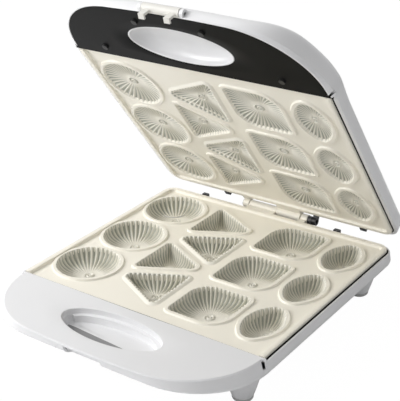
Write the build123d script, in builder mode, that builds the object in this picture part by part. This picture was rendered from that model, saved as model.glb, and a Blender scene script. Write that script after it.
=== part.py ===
from build123d import *
from math import atan2, cos, radians, sin, tan
from typing import NamedTuple
import os

os.makedirs("parts", exist_ok=True)

# A countertop cookie maker, standing open as it does for loading
# All lengths are millimetres, +Z is up, the handles face -Y and the hinge is at +Y
# The origin lies under the middle of the open cooker, on the surface that it stands on

# Cooking plates, two castings of one outline
plate_width = 265.8
plate_depth = 229.2
plate_skin = 3.0
rear_corner = 11.0
rim_width = 4.6
rim_height = 2.8
face_height = 45.0
plate_gap = 6.4

# Moulds in four columns, measured from the middle of the plate
row_pitch = 70.0
row_shift = 1.7
triangle_pitch = 45.0
round_x = -95.2
triangle_x = -25.6
leaf_x = 46.6
oval_x = 102.8
round_radius = 31.0
triangle_base = 61.0
triangle_height = 60.0
triangle_spread = 59.4
triangle_tip_radius = 6.0
triangle_foot_radius = 4.0
leaf_width = 56.0
leaf_depth = 57.0
leaf_sharp_radius = 6.0
leaf_round_radius = 22.0
oval_width = 35.0
oval_depth = 56.0
oval_end_radius = 10.0
lower_mould_depth = 14.0
upper_mould_depth = 3.2
lower_draft = 10.0
upper_draft = 35.0
upper_toe = 1.0
mould_toe = 3.0
mould_toe_draft = 25.0
mould_wall = 2.6
lip_width = 3.8
lip_height = 1.7
lip_taper = 30.0
back_taper = 10.0
least_back_grow = 0.5

# Housings, two pressed shells with a slit beside the plates
side_slit = 2.0
slit_lip = 1.7
side_lip_rise = 0.5
side_flange = 4.1
housing_wall = 2.5
rear_overhang = 2.6
housing_rear_radius = 16.0
handle_rear_radius = 14.5
waist_drop = 10.0
base_depth = 36.0
lid_waist_rise = 1.0
lid_edge_height = 12.5
lid_edge_radius = 12.0
lid_crown = 13.0
lid_crown_share = 0.66
lid_crown_y = -36.0
handle_rise = 2.0
handle_reach = 75.7
lid_rim_width = 2.4
panel_gap = 0.3
panel_thickness = 2.4

# Hinge at the back
hinge_behind = 10.5
hinge_rise = 1.85
knuckle_radius = 4.7
pin_radius = 2.0
pin_clearance = 0.05
open_angle = 52.9
hinge_notch = (-44.0, 35.9)
hinge_notch_drop = 4.6
pin_head_radius = 3.2
pin_head = 1.2
base_knuckles = ((-34.2, -1.5), (28.4, 35.6))
lid_knuckles = ((-42.0, -35.2), (-1.0, 26.8))

# How the housings are hollowed and trimmed
cavity_step = 1.5
keel_inset = 1.2
leg_floor = 4.0
ledge_height = 2.4
ledge_inset = 6.5
slit_start = 1.4
rear_wall_half = 117.0
rear_wall_cut = 5.0
groove_width = 3.5
groove_ahead = 4.4
groove_height = 10.0
panel_peg = 4.0
stem_boss_depth = 9.0
gland_boss_setback = 1.0
gland_boss_inside = 13.0
pad_round = 3.2
vent_count = 5
vent_pitch = 14.0
vent_length = 60.0
vent_width = 3.0
overshoot = 1.0

# How the lid's crown rises and how the lid is hollowed
crown_root = 1.0
root_share = 0.99
shoulder_rise = 0.58
shoulder_share = 0.85
lid_inner_rise = 7.6
lid_bend_inset = 7.5
lid_cover = 2.5
panel_screw_length = 6.0
dish_posts = ((-30.0, -149.3), (30.0, -149.3))

# Finger dishes in the two handles
dish_half_length = 53.0
dish_half_width = 21.5
dish_from_front = 41.0
dish_depth = 11.5
dish_ledge = 4.0
dish_ledge_depth = 5.0
dish_wall = 2.0
dish_lean = 8.0
dish_rim = 1.6
dish_slot_length = 72.0
dish_slot_width = 4.0

# Latch at the front of the lid
latch_width = 38.0
latch_radius = 4.25
latch_pin_radius = 1.5
latch_hollow_radius = 3.2
latch_hollow = 9.0
latch_ahead = 1.5
latch_gap = 0.6
ear_width = 3.6
ear_radius = 4.0
latch_level = 2.3
latch_swing = 22.6
hook_spacing = 26.0
hook_width = 6.0
hook_thickness = 2.2
hook_length = 12.1
hook_nose = 2.8
hook_nose_height = 1.8
catch_height = 3.2
catch_width = 40.0
catch_depth = 9.0

# Feet
foot_x = 112.3
front_foot_from_front = 75.0
rear_foot_from_rear = 25.0
leg_top_radius = 22.0
leg_foot_radius = 9.4
leg_waist_radius = 15.0
leg_waist_height = 16.0
leg_top_height = 33.0
pad_height = 4.0
pad_peg_radius = 2.5
pad_peg_length = 3.0

# Heating, the same element in both plates
element_radius = 3.25
element_half_width = 84.0
element_front = 64.0
element_rear = 70.0
element_bend = 18.0
element_tail = 26.0
terminal_spacing = 18.0
terminal_pin_radius = 1.3
terminal_pin_length = 8.0
clip_width = 10.0
clip_sheet = 0.8
clip_screw_reach = 10.0
clip_half_length = 13.5
clip_places = ((-84.0, -33.3), (-84.0, 36.7), (84.0, -33.3), (84.0, 36.7))
clip_screw_length = 6.0
boss_radius = 3.6
screw_radius = 1.5
screw_head_radius = 2.9
screw_head_height = 1.8
fit_gap = 0.1
side_gap = 0.3
reflector_sheet = 0.8
reflector_half = 97.0
reflector_front = 92.0
reflector_rear = 62.0
reflector_lip = 3.0
reflector_corner = 8.0
peg_radius = 1.6
reflector_drop = 1.0
reflector_post_x = 90.0
reflector_post_y = (-84.0, 54.0)
post_radius = 4.0
plate_posts = ((-124.0, -33.3), (-124.0, 36.7), (124.0, -33.3), (124.0, 36.7),
               (-52.0, -107.0), (52.0, -107.0), (-52.0, 109.0), (52.0, 109.0))
panel_posts = ((-93.5, -127.3), (93.5, -127.3), (-34.5, -175.3), (34.5, -175.3))

# Front tabs that hold each plate under the edge of its handle panel
tab_x = 70.0
tab_width = 20.0
tab_reach = 4.3
tab_drop = 3.6
tab_height = 2.6
crossbar_depth = 4.6
crossbar_gap = 0.2
panel_rear_gap = 0.4

# Small parts
clip_button_width = 6.5
clip_button_depth = 4.4
clip_button_top = 2.4
clip_button_bottom = -11.0
clip_nose_reach = 1.0
clip_nose_level = -0.4
clip_nose_height = 1.4
clip_stem_radius = 1.8
clip_stem_level = -7.5
clip_stem_length = 7.0
base_button_x = (-89.5, 71.7)
lid_button_x = (-63.5, 98.3)
elbow_radius = 4.2
elbow_bore = 2.4
elbow_width = 4.2
elbow_x = (36.2, 41.0)
elbow_arm = 4.4
elbow_reach = 8.0
elbow_drop = 5.7
elbow_lap = 1.0
lead_notch = (35.9, 47.0)
lead_notch_drop = 8.2
gland_radius = 7.0
gland_flange_radius = 9.0
gland_flange = 2.5
gland_bore = 3.4
gland_length = 12.0
gland_x = -88.0
gland_drop = 22.0
gland_boss_radius = 10.5
thermostat_radius = 7.0
fuse_radius = 2.0
fuse_length = 22.0
block_x = -60.0
block_from_plate_rear = 26.0
block_length = 26.0
block_depth = 16.0
block_height = 12.0
cover_width = 162.0
cover_depth = 142.0
cover_sheet = 1.6
cover_opening = 6.0
cover_frame = 4.0
cover_screw_inset = 3.0
cover_boss_height = 7.0
cover_screw_length = 5.0
lamp_spacing = 26.0
lamp_radius = 4.5
lamp_rise = 1.2
lamp_from_plate_middle = -60.0
lamp_places = ((-lamp_spacing / 2, lamp_from_plate_middle), (lamp_spacing / 2, lamp_from_plate_middle))
lamp_holder_width = 44.0
lamp_holder_depth = 14.0
lamp_holder_height = 6.0

# Where the plate's middle lies, so that the open cooker is centred on the origin: the lid's
# farthest point back is either its rounded rear edge or the corner of a plate clip
lid_wall_ahead = hinge_behind - rear_overhang
lean_cos = cos(radians(open_angle))
lean_sin = sin(radians(open_angle))
lid_bulge_back = -lid_wall_ahead - lid_edge_radius
lid_bulge_up = plate_gap - hinge_rise + lid_waist_rise + lid_edge_height - lid_edge_radius
lid_reach = lid_bulge_back * lean_cos + lid_bulge_up * lean_sin + lid_edge_radius
button_back = clip_button_depth - lid_wall_ahead
button_up = plate_gap - hinge_rise - clip_button_bottom
rear_reach = max(lid_reach, button_back * lean_cos + button_up * lean_sin)
rear_extent = plate_depth / 2 + hinge_behind + rear_reach
front_extent = plate_depth / 2 + handle_reach
plate_y = (front_extent - rear_extent) / 2

plate_front = plate_y - plate_depth / 2
plate_rear = plate_y + plate_depth / 2
base_front = plate_front - handle_reach
housing_rear = plate_rear + rear_overhang
hinge_y = plate_rear + hinge_behind
hinge_z = face_height + hinge_rise
lid_face = face_height + plate_gap
row_y = [plate_y + row_shift + step * row_pitch for step in (-1, 0, 1)]
triangle_y = [plate_y + row_shift + step * triangle_pitch for step in (-1.5, -0.5, 0.5, 1.5)]
dish_y = base_front + dish_from_front


# Outlines shared by several pieces


class ShellEdge(NamedTuple):
    """Right half of a housing's outline at one level.

    The points give how far they lie in from the half width and how far ahead of the plate's front.
    """

    half: float
    rear: float
    bend: float
    shoulder_ahead: float
    side: tuple
    corner_end: tuple
    corner_start: tuple
    front_ahead: float


def shell_outline(level, edge, inset=0.0, half_inset=None):
    """Draw a housing's outline at a level, drawn in all round by an inset."""
    side_inset = inset if half_inset is None else half_inset
    nose_rise = edge.front_ahead - edge.corner_start[1]
    nose_turn = 2 * atan2(nose_rise, edge.half - edge.corner_start[0])
    cheek_rise = edge.corner_start[1] - edge.corner_end[1]
    cheek_turn = 2 * atan2(cheek_rise, edge.corner_start[0] - edge.corner_end[0]) - nose_turn
    jaw_rise = edge.corner_end[1] - edge.side[1]
    jaw_turn = 2 * atan2(jaw_rise, edge.corner_end[0] - edge.side[0]) - cheek_turn

    def drawn_in(point, turn):
        return (edge.half - point[0] - inset * sin(turn), plate_front - point[1] + inset * cos(turn))

    half = edge.half - side_inset
    rear = plate_y + edge.rear - inset
    with BuildSketch(Plane.XY.offset(level)) as outline:
        with BuildLine():
            back = Line((0, rear), (half - edge.bend + inset, rear))
            bend = TangentArc(back @ 1, (half, rear - edge.bend + inset), tangent=back % 1)
            flank = Line(bend @ 1, (half, plate_front - edge.shoulder_ahead))
            nose = TangentArc((0, plate_front - edge.front_ahead + inset),
                              drawn_in(edge.corner_start, nose_turn), tangent=(1, 0))
            cheek = TangentArc(nose @ 1, drawn_in(edge.corner_end, cheek_turn), tangent=nose % 1)
            jaw = TangentArc(cheek @ 1, drawn_in(edge.side, jaw_turn), tangent=cheek % 1)
            Line(flank @ 1, jaw @ 1)
            mirror(about=Plane.YZ)
        make_face()
    return outline.sketch


def plate_outline(level, inset=0.0):
    """Draw a cooking plate's outline, square at the front and rounded at the rear."""
    with BuildSketch(Plane.XY.offset(level)) as outline:
        with Locations((0, plate_y)):
            Rectangle(plate_width - 2 * inset, plate_depth - 2 * inset)
        fillet(outline.vertices().group_by(Axis.Y)[-1], rear_corner - inset)
    return outline.sketch


def oval_outline(half_length, half_width, end_radius):
    """Draw an oval of four tangent arcs, long along Y, in the line that is open."""
    side_radius = (half_width**2 + (half_length - end_radius) ** 2 - end_radius**2) / (
        2 * (half_width - end_radius))
    reach = side_radius / (side_radius - end_radius)
    meet_x = half_width - side_radius + (side_radius - half_width) * reach
    meet_y = (half_length - end_radius) * reach
    ThreePointArc((meet_x, -meet_y), (half_width, 0), (meet_x, meet_y))
    ThreePointArc((meet_x, meet_y), (0, half_length), (-meet_x, meet_y))
    ThreePointArc((-meet_x, meet_y), (-half_width, 0), (-meet_x, -meet_y))
    ThreePointArc((-meet_x, -meet_y), (0, -half_length), (meet_x, -meet_y))


def triangle_outline(side, grow):
    """Draw a rounded triangle whose tip points to the given side, with its foot at the origin."""
    half_tip = atan2(triangle_base / 2, triangle_height)
    tip = side * (triangle_height + grow / sin(half_tip))
    foot = -side * grow
    spread = triangle_base / 2 + grow * (1 + sin(half_tip)) / cos(half_tip)
    with BuildSketch() as outline:
        with BuildLine():
            Polyline((foot, -spread), (tip, 0), (foot, spread), close=True)
        make_face()
        tip_corner = outline.vertices().sort_by(Axis((0, 0, 0), (side, 0, 0)))[-1]
        fillet(tip_corner, triangle_tip_radius + grow)
        foot_corners = outline.vertices().group_by(Axis.X)[0 if side > 0 else -1]
        fillet(foot_corners, triangle_foot_radius + grow)
    return outline.sketch


def leaf_outline(grow):
    """Draw a rounded square with two opposite corners left sharp."""
    with BuildSketch() as outline:
        Rectangle(leaf_width + 2 * grow, leaf_depth + 2 * grow)
        by_corner = outline.vertices().sort_by(Axis((0, 0, 0), (1, 1, 0)))
        fillet([by_corner[0], by_corner[-1]], leaf_sharp_radius + grow)
        by_corner = outline.vertices().sort_by(Axis((0, 0, 0), (1, -1, 0)))
        fillet([by_corner[0], by_corner[-1]], leaf_round_radius + grow)
    return outline.sketch


def mould_outlines(level, grow=0.0):
    """Draw the outlines of all the moulds at a level, grown all round."""
    with BuildSketch(Plane.XY.offset(level)) as outlines:
        with Locations(*[(round_x, y) for y in row_y]):
            Circle(round_radius + grow)
        with Locations(*[(leaf_x, y) for y in row_y]):
            add(leaf_outline(grow))
        with BuildSketch(mode=Mode.PRIVATE) as oval:
            with BuildLine():
                oval_outline(oval_depth / 2 + grow, oval_width / 2 + grow, oval_end_radius + grow)
            make_face()
        with Locations(*[(oval_x, y) for y in row_y]):
            add(oval.sketch)
        with Locations(*[(triangle_x + triangle_spread / 2, y) for y in triangle_y[0::2]]):
            add(triangle_outline(-1, grow))
        with Locations(*[(triangle_x - triangle_spread / 2, y) for y in triangle_y[1::2]]):
            add(triangle_outline(1, grow))
    return outlines.sketch


def dish_outline(level, grow=0.0):
    """Draw the finger dish's oval at a level."""
    with BuildSketch(Plane.XY.offset(level)) as outline:
        with Locations((0, dish_y)):
            Ellipse(dish_half_length + grow, dish_half_width + grow)
    return outline.sketch


# Edges of the two housings, from the level of the handles down to the foot of each shell
lip_half = plate_width / 2 + side_slit + slit_lip
housing_half = plate_width / 2 + side_slit + side_flange
shell_rear = plate_depth / 2 + rear_overhang
handle_edge = ShellEdge(
    half=lip_half,
    rear=shell_rear,
    bend=handle_rear_radius,
    shoulder_ahead=0.7,
    side=(4.1, 3.7),
    corner_end=(18.6, 43.7),
    corner_start=(76.6, 74.0),
    front_ahead=handle_reach,
)
base_waist = ShellEdge(
    half=housing_half,
    rear=shell_rear,
    bend=housing_rear_radius,
    shoulder_ahead=-1.3,
    side=(0.0, 2.7),
    corner_end=(16.4, 46.0),
    corner_start=(70.0, 70.8),
    front_ahead=71.0,
)
base_keel = ShellEdge(
    half=housing_half - 29.0,
    rear=shell_rear - 13.5,
    bend=20.0,
    shoulder_ahead=-24.3,
    side=(0.5, -20.3),
    corner_end=(7.0, -10.3),
    corner_start=(22.0, -4.3),
    front_ahead=-3.8,
)
lid_waist = ShellEdge(
    half=housing_half,
    rear=shell_rear,
    bend=housing_rear_radius,
    shoulder_ahead=17.7,
    side=(0.0, 23.7),
    corner_end=(11.5, 57.2),
    corner_start=(49.0, 74.5),
    front_ahead=74.7,
)

base_plane = face_height + handle_rise
waist_level = face_height - waist_drop
keel_level = face_height - base_depth
floor_level = keel_level + housing_wall
rear_wall_level = face_height - handle_rise
side_lip_level = face_height + side_lip_rise


def inset_tray(level):
    """Draw the field of a plate inside its rim, open at the front."""
    with BuildSketch(Plane.XY.offset(level)) as tray:
        add(plate_outline(0.0, rim_width))
        with Locations((0, plate_front + rim_width)):
            Rectangle(plate_width - 2 * rim_width, 4 * rim_width)
    return tray.sketch


def discs(level, places, radius):
    """Draw equal discs at places measured from the middle of the plate."""
    with BuildSketch(Plane.XY.offset(level)) as sketch:
        with Locations(*[(x, plate_y + y) for x, y in places]):
            Circle(radius)
    return sketch.sketch


def block(left, right, front, rear, bottom, top):
    """Make a box between its limits along each axis."""
    with BuildPart() as box:
        with BuildSketch(Plane.XY.offset(bottom)):
            with Locations(((left + right) / 2, (front + rear) / 2)):
                Rectangle(right - left, rear - front)
        extrude(amount=top - bottom)
    return box.part


clip_screw_places = [(x + step * clip_screw_reach, y) for x, y in clip_places for step in (-1, 1)]


def cast_plate(depth, draft, toe, toe_draft, knuckles, axis_rise, button_x):
    """Cast one cooking plate, face up, with its rim, lips, moulds, bosses and hinge knuckles."""
    under = face_height - plate_skin
    lip_level = face_height + lip_height
    back_grow = max(mould_wall - (lip_height + plate_skin) * tan(radians(draft)), least_back_grow)
    side_depth = lip_height + depth - toe
    toe_inset = side_depth * tan(radians(draft))
    mould_back = face_height - depth - mould_wall
    clip_level = mould_back - element_radius
    tab_top = under - tab_drop + tab_height
    with BuildPart() as plate:
        extrude(plate_outline(under), amount=plate_skin + rim_height)
        extrude(inset_tray(face_height), amount=rim_height, mode=Mode.SUBTRACT)
        extrude(mould_outlines(face_height, lip_width), amount=lip_height, taper=lip_taper)
        extrude(mould_outlines(under, back_grow), amount=mould_back - under, taper=min(draft, back_taper))
        extrude(discs(clip_level, clip_screw_places, boss_radius), amount=under - clip_level)
        extrude(mould_outlines(lip_level), amount=-side_depth, taper=draft, mode=Mode.SUBTRACT)
        extrude(mould_outlines(lip_level - side_depth, -toe_inset), amount=-toe, taper=toe_draft,
                mode=Mode.SUBTRACT)
        extrude(discs(clip_level, clip_screw_places, screw_radius + pin_clearance),
                amount=clip_screw_length, mode=Mode.SUBTRACT)
        for x in (-tab_x, tab_x):
            left = x - tab_width / 2
            right = x + tab_width / 2
            tab_rear = plate_front + 2 * tab_height
            add(block(left, right, plate_front - tab_reach, tab_rear, under - tab_drop, tab_top))
            add(block(left, right, plate_front, tab_rear, tab_top, under))
        for x in button_x:
            half_slot = clip_button_width / 2 + side_gap
            slot_bottom = face_height + clip_nose_level - side_gap
            slot_top = face_height + clip_nose_level + clip_nose_height + side_gap
            add(block(x - half_slot, x + half_slot, plate_rear - clip_nose_reach - side_gap,
                      plate_rear + overshoot, slot_bottom, slot_top), mode=Mode.SUBTRACT)
        for start, end in knuckles:
            with BuildSketch(Plane.YZ.offset(start)):
                with Locations((hinge_y, face_height + axis_rise)):
                    Circle(knuckle_radius)
                arm_front = plate_rear - rim_width
                with Locations(((arm_front + hinge_y) / 2, face_height + (rim_height - plate_skin) / 2)):
                    Rectangle(hinge_y - arm_front, rim_height + plate_skin)
            extrude(amount=end - start)
        with BuildSketch(Plane.YZ.offset(knuckles[0][0] - overshoot)):
            with Locations((hinge_y, face_height + axis_rise)):
                Circle(pin_radius + pin_clearance)
        extrude(amount=knuckles[-1][1] - knuckles[0][0] + 2 * overshoot, mode=Mode.SUBTRACT)
    return plate.part


def bent_element(mould_back):
    """Sweep the heating rod round a loop under the moulds, with two terminals at the back."""
    level = mould_back - element_radius
    front = plate_y - element_front
    rear = plate_y + element_rear
    tail = rear + element_tail
    inner = terminal_spacing / 2
    with BuildPart() as element:
        with BuildLine(Plane.XY.offset(level)):
            FilletPolyline((-inner, tail), (-inner, rear), (-element_half_width, rear),
                           (-element_half_width, front), (element_half_width, front),
                           (element_half_width, rear), (inner, rear), (inner, tail),
                           radius=element_bend)
        with BuildSketch(Plane(origin=(-inner, tail, level), z_dir=(0, -1, 0))):
            Circle(element_radius)
        sweep()
        with BuildSketch(Plane(origin=(0, tail, level), x_dir=(1, 0, 0), z_dir=(0, 1, 0))):
            with Locations((-inner, 0), (inner, 0)):
                Circle(terminal_pin_radius)
        extrude(amount=terminal_pin_length)
    return element.part


def element_clips(mould_back):
    """Fold four sheet clips over the heating rod, each with a foot on either side."""
    level = mould_back - element_radius
    saddle = element_radius + fit_gap
    with BuildPart() as clips:
        for x, y in clip_places:
            with BuildSketch(Plane.XZ.offset(-(plate_y + y + clip_width / 2))):
                with Locations((x, level)):
                    Circle(saddle + clip_sheet)
                with Locations((x, level + saddle)):
                    Rectangle(2 * (saddle + clip_sheet), 2 * saddle, mode=Mode.SUBTRACT)
                with Locations((x, level - clip_sheet / 2)):
                    Rectangle(2 * clip_half_length, clip_sheet)
                with Locations((x, level)):
                    Circle(saddle, mode=Mode.SUBTRACT)
            extrude(amount=clip_width)
        holes = discs(level - 2 * clip_sheet, clip_screw_places, screw_radius + fit_gap)
        extrude(holes, amount=3 * clip_sheet, mode=Mode.SUBTRACT)
    return clips.part


def screws(level, places, direction, length):
    """Turn a set of screws with their heads outside a level and their shanks along a direction."""
    with BuildPart() as group:
        extrude(discs(level, places, screw_head_radius), amount=-direction * screw_head_height)
        extrude(discs(level, places, screw_radius), amount=direction * length)
    return group.part


def reflector(level):
    """Press the heat shield below the rod, with a lip all round and holes for its posts."""
    front = plate_y - reflector_front
    rear = plate_y + reflector_rear
    middle = (front + rear) / 2
    depth = rear - front
    with BuildPart() as sheet:
        with BuildSketch(Plane.XY.offset(level)):
            with Locations((0, middle)):
                RectangleRounded(2 * reflector_half, depth, reflector_corner)
        extrude(amount=reflector_sheet + reflector_lip)
        with BuildSketch(Plane.XY.offset(level + reflector_sheet)):
            with Locations((0, middle)):
                RectangleRounded(2 * reflector_half - 2 * reflector_sheet, depth - 2 * reflector_sheet,
                                 reflector_corner - reflector_sheet)
        extrude(amount=reflector_lip, mode=Mode.SUBTRACT)
        extrude(discs(level, reflector_posts, peg_radius + fit_gap), amount=reflector_sheet,
                mode=Mode.SUBTRACT)
    return sheet.part


reflector_posts = [(side * reflector_post_x, y) for side in (-1, 1) for y in reflector_post_y]

# The lid is drawn closed and face up over its mirror plane, then turned over and swung open
mid_gap = face_height + plate_gap / 2
swing = Location((0, hinge_y, hinge_z)) * Location((0, 0, 0), (-open_angle, 0, 0))
swing = swing * Location((0, -hinge_y, -hinge_z))


def turned_over(piece):
    """Mirror a face-up piece to the lid's side of the gap between the plates."""
    return mirror(piece, about=Plane.XY.offset(mid_gap))


# Base: cooking plate, heating rod, clips, screws and heat shield
lower_back = face_height - lower_mould_depth - mould_wall
upper_back = face_height - upper_mould_depth - mould_wall
lower_shield = lower_back - 2 * element_radius - reflector_drop - reflector_sheet - reflector_lip
upper_shield = upper_back - 2 * element_radius - reflector_drop - reflector_sheet - reflector_lip

with BuildPart() as lower_plate:
    add(cast_plate(lower_mould_depth, lower_draft, mould_toe, mould_toe_draft, base_knuckles,
                   hinge_rise, base_button_x))
lower_plate.part.label = "lower_plate"
export_step(lower_plate.part, "parts/lower_plate.step")

with BuildPart() as lower_element:
    add(bent_element(lower_back))
lower_element.part.label = "lower_element"
export_step(lower_element.part, "parts/lower_element.step")

with BuildPart() as lower_element_clips:
    add(element_clips(lower_back))
lower_element_clips.part.label = "lower_element_clips"
export_step(lower_element_clips.part, "parts/lower_element_clips.step")

with BuildPart() as lower_clip_screws:
    add(screws(lower_back - element_radius - clip_sheet, clip_screw_places, 1, clip_screw_length))
lower_clip_screws.part.label = "lower_clip_screws"
export_step(lower_clip_screws.part, "parts/lower_clip_screws.step")

with BuildPart() as lower_reflector:
    add(reflector(lower_shield))
lower_reflector.part.label = "lower_reflector"
export_step(lower_reflector.part, "parts/lower_reflector.step")

# Base housing: a shallow tray that slopes in to a flat keel, on four hollow conical legs
front_foot_y = base_front + front_foot_from_front - plate_y
rear_foot_y = housing_rear - rear_foot_from_rear - plate_y
foot_places = [(side * foot_x, y) for side in (-1, 1) for y in (front_foot_y, rear_foot_y)]
panel_under = base_plane - panel_thickness
plate_under = face_height - plate_skin
crossbar_under = plate_under - tab_drop + tab_height + crossbar_gap
cover_y = (plate_front - base_keel.front_ahead + plate_y + base_keel.rear) / 2
cover_screw_grid = (cover_width - 2 * cover_screw_inset, cover_depth - 2 * cover_screw_inset, 2, 2)
bay_end = housing_rear + overshoot
gland_z = face_height - gland_drop
gland_face = housing_rear - gland_boss_setback
stem_z = face_height + clip_stem_level
block_rear = plate_rear - block_from_plate_rear
hidden_rear = plate_rear - rear_wall_cut
trim_top = base_plane + housing_wall


def handle_region(level, inset, rear):
    """Draw the part of the handle's outline that lies in front of a line."""
    with BuildSketch(Plane.XY.offset(level)) as region:
        add(shell_outline(level, handle_edge, inset))
        with Locations((0, rear)):
            Rectangle(3 * housing_half, 2 * plate_depth, align=(Align.CENTER, Align.MIN),
                      mode=Mode.SUBTRACT)
    return region.sketch


def rods(places, level, start, end, radius):
    """Make round bars along Y between two lines, at given x places and one level."""
    with BuildPart() as bars:
        with BuildSketch(Plane.XZ.offset(-start)):
            with Locations(*[(x, level) for x in places]):
                Circle(radius)
        extrude(amount=start - end)
    return bars.part


def frustums(places, low, low_radius, high, high_radius):
    """Make upright cones between two levels, at places measured from the plate's middle."""
    with BuildPart() as cones:
        with Locations(*[(x, plate_y + y, low) for x, y in places]):
            Cone(low_radius, high_radius, high - low, align=(Align.CENTER, Align.CENTER, Align.MIN))
    return cones.part


def finger_dish(level, grow, depth, ledge_depth, way=-1):
    """Make the stepped hollow of a finger dish from a level, grown all round."""
    lean = tan(radians(dish_lean))
    ledge_grow = grow - ledge_depth * lean
    floor_grow = grow - dish_ledge - depth * lean
    with BuildPart() as hollow:
        loft([dish_outline(level, grow).face(), dish_outline(level + way * ledge_depth, ledge_grow).face()],
             ruled=True)
        loft([dish_outline(level, grow - dish_ledge).face(),
              dish_outline(level + way * depth, floor_grow).face()], ruled=True)
    return hollow.part


with BuildPart() as base_outside:
    loft([shell_outline(waist_level, base_waist).face(), shell_outline(base_plane, handle_edge).face()],
         ruled=True)
    loft([shell_outline(keel_level, base_keel).face(), shell_outline(waist_level, base_waist).face()],
         ruled=True)
    add(frustums(foot_places, pad_height, leg_foot_radius, leg_waist_height, leg_waist_radius))
    add(frustums(foot_places, leg_waist_height, leg_waist_radius, leg_top_height, leg_top_radius))

with BuildPart() as base_inside:
    cavity_waist = shell_outline(waist_level + cavity_step, base_waist, housing_wall)
    loft([cavity_waist.face(), shell_outline(base_plane, handle_edge, lid_rim_width, slit_lip).face()],
         ruled=True)
    loft([shell_outline(floor_level, base_keel, keel_inset).face(), cavity_waist.face()], ruled=True)
    add(frustums(foot_places, pad_height + leg_floor, leg_foot_radius - housing_wall,
                 leg_waist_height, leg_waist_radius - housing_wall))
    add(frustums(foot_places, leg_waist_height, leg_waist_radius - housing_wall,
                 leg_top_height, leg_top_radius - housing_wall))

with BuildPart() as base_frames:
    extrude(handle_region(panel_under - ledge_height, 0, plate_front), amount=ledge_height)
    extrude(handle_region(panel_under - ledge_height, ledge_inset, plate_front), amount=ledge_height,
            mode=Mode.SUBTRACT)
    add(block(-lip_half, lip_half, plate_front - crossbar_depth - panel_rear_gap,
              plate_front - panel_rear_gap, crossbar_under, panel_under))
    add(block(-catch_width / 2 - dish_wall, catch_width / 2 + dish_wall, base_front,
              base_front + catch_depth + dish_wall, waist_level - catch_depth, panel_under))
    extrude(discs(keel_level, panel_posts, post_radius), amount=panel_under - keel_level)
    extrude(discs(keel_level, plate_posts, post_radius), amount=plate_under - keel_level)
    extrude(discs(keel_level, reflector_posts, post_radius), amount=lower_shield - keel_level)
    extrude(discs(keel_level, reflector_posts, peg_radius),
            amount=lower_shield + 2 * reflector_sheet - keel_level)
    with BuildSketch(Plane.XY.offset(keel_level)):
        with Locations((0, cover_y)):
            Rectangle(cover_width + 2 * cover_frame, cover_depth + 2 * cover_frame)
    extrude(amount=cover_frame)
    with BuildSketch(Plane.XY.offset(keel_level)) as cover_bosses:
        with Locations((0, cover_y)):
            with GridLocations(*cover_screw_grid):
                Circle(boss_radius)
    extrude(amount=cover_boss_height)
    add(rods(base_button_x, stem_z, housing_rear, housing_rear - stem_boss_depth, post_radius))
    add(base_outside.part, mode=Mode.INTERSECT)
    add(rods([gland_x], gland_z, gland_face, housing_rear - gland_boss_inside, gland_boss_radius))

with BuildPart() as base_housing:
    add(base_outside.part)
    add(base_inside.part, mode=Mode.SUBTRACT)
    add(base_frames.part)
    # The pocket of the handle panel, then the bay of the plate, its slit and the low rear wall
    extrude(handle_region(panel_under, lid_rim_width, plate_front), amount=panel_thickness,
            mode=Mode.SUBTRACT)
    add(block(-2 * lip_half, 2 * lip_half, plate_front - slit_start, bay_end,
              side_lip_level, trim_top), mode=Mode.SUBTRACT)
    add(block(-rear_wall_half, rear_wall_half, hidden_rear, bay_end, rear_wall_level, trim_top),
        mode=Mode.SUBTRACT)
    add(block(*hinge_notch, plate_rear - overshoot, bay_end, face_height - hinge_notch_drop, trim_top),
        mode=Mode.SUBTRACT)
    add(block(*lead_notch, plate_rear - overshoot, bay_end, face_height - lead_notch_drop, trim_top),
        mode=Mode.SUBTRACT)
    # The grooves at the front corners of the bay
    for side in (-1, 1):
        groove_x = side * (lip_half - groove_width)
        groove_y = plate_front - groove_ahead
        add(block(groove_x - groove_width / 2, groove_x + groove_width / 2, groove_y - groove_width / 2,
                  groove_y + groove_width / 2, base_plane - groove_height, trim_top), mode=Mode.SUBTRACT)
    # The catch for the latch
    add(block(-catch_width / 2, catch_width / 2, base_front - overshoot, base_front + catch_depth,
              waist_level - overshoot, base_plane - catch_height), mode=Mode.SUBTRACT)
    # The opening in the keel with its recess, and the screw, peg and gland holes
    with BuildSketch(Plane.XY.offset(keel_level)):
        with Locations((0, cover_y)):
            Rectangle(cover_width - 2 * cover_opening, cover_depth - 2 * cover_opening)
    extrude(amount=cover_frame, mode=Mode.SUBTRACT)
    with BuildSketch(Plane.XY.offset(keel_level)):
        with Locations((0, cover_y)):
            Rectangle(cover_width + 2 * side_gap, cover_depth + 2 * side_gap)
    extrude(amount=cover_sheet, mode=Mode.SUBTRACT)
    with BuildSketch(Plane.XY.offset(keel_level)):
        with Locations((0, cover_y)):
            with GridLocations(*cover_screw_grid):
                Circle(screw_radius + pin_clearance)
    extrude(amount=cover_screw_length + fit_gap, mode=Mode.SUBTRACT)
    extrude(discs(pad_height, foot_places, pad_peg_radius + fit_gap), amount=pad_peg_length + fit_gap,
            mode=Mode.SUBTRACT)
    extrude(discs(panel_under, panel_posts, peg_radius + fit_gap), amount=-panel_peg - fit_gap,
            mode=Mode.SUBTRACT)
    add(rods([gland_x], gland_z, gland_face, gland_face - 2 * gland_length, gland_radius + pin_clearance),
        mode=Mode.SUBTRACT)
    add(rods(base_button_x, stem_z, housing_rear, housing_rear - clip_stem_length - fit_gap,
             clip_stem_radius + pin_clearance), mode=Mode.SUBTRACT)
base_housing.part.label = "base_housing"
export_step(base_housing.part, "parts/base_housing.step")

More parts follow.
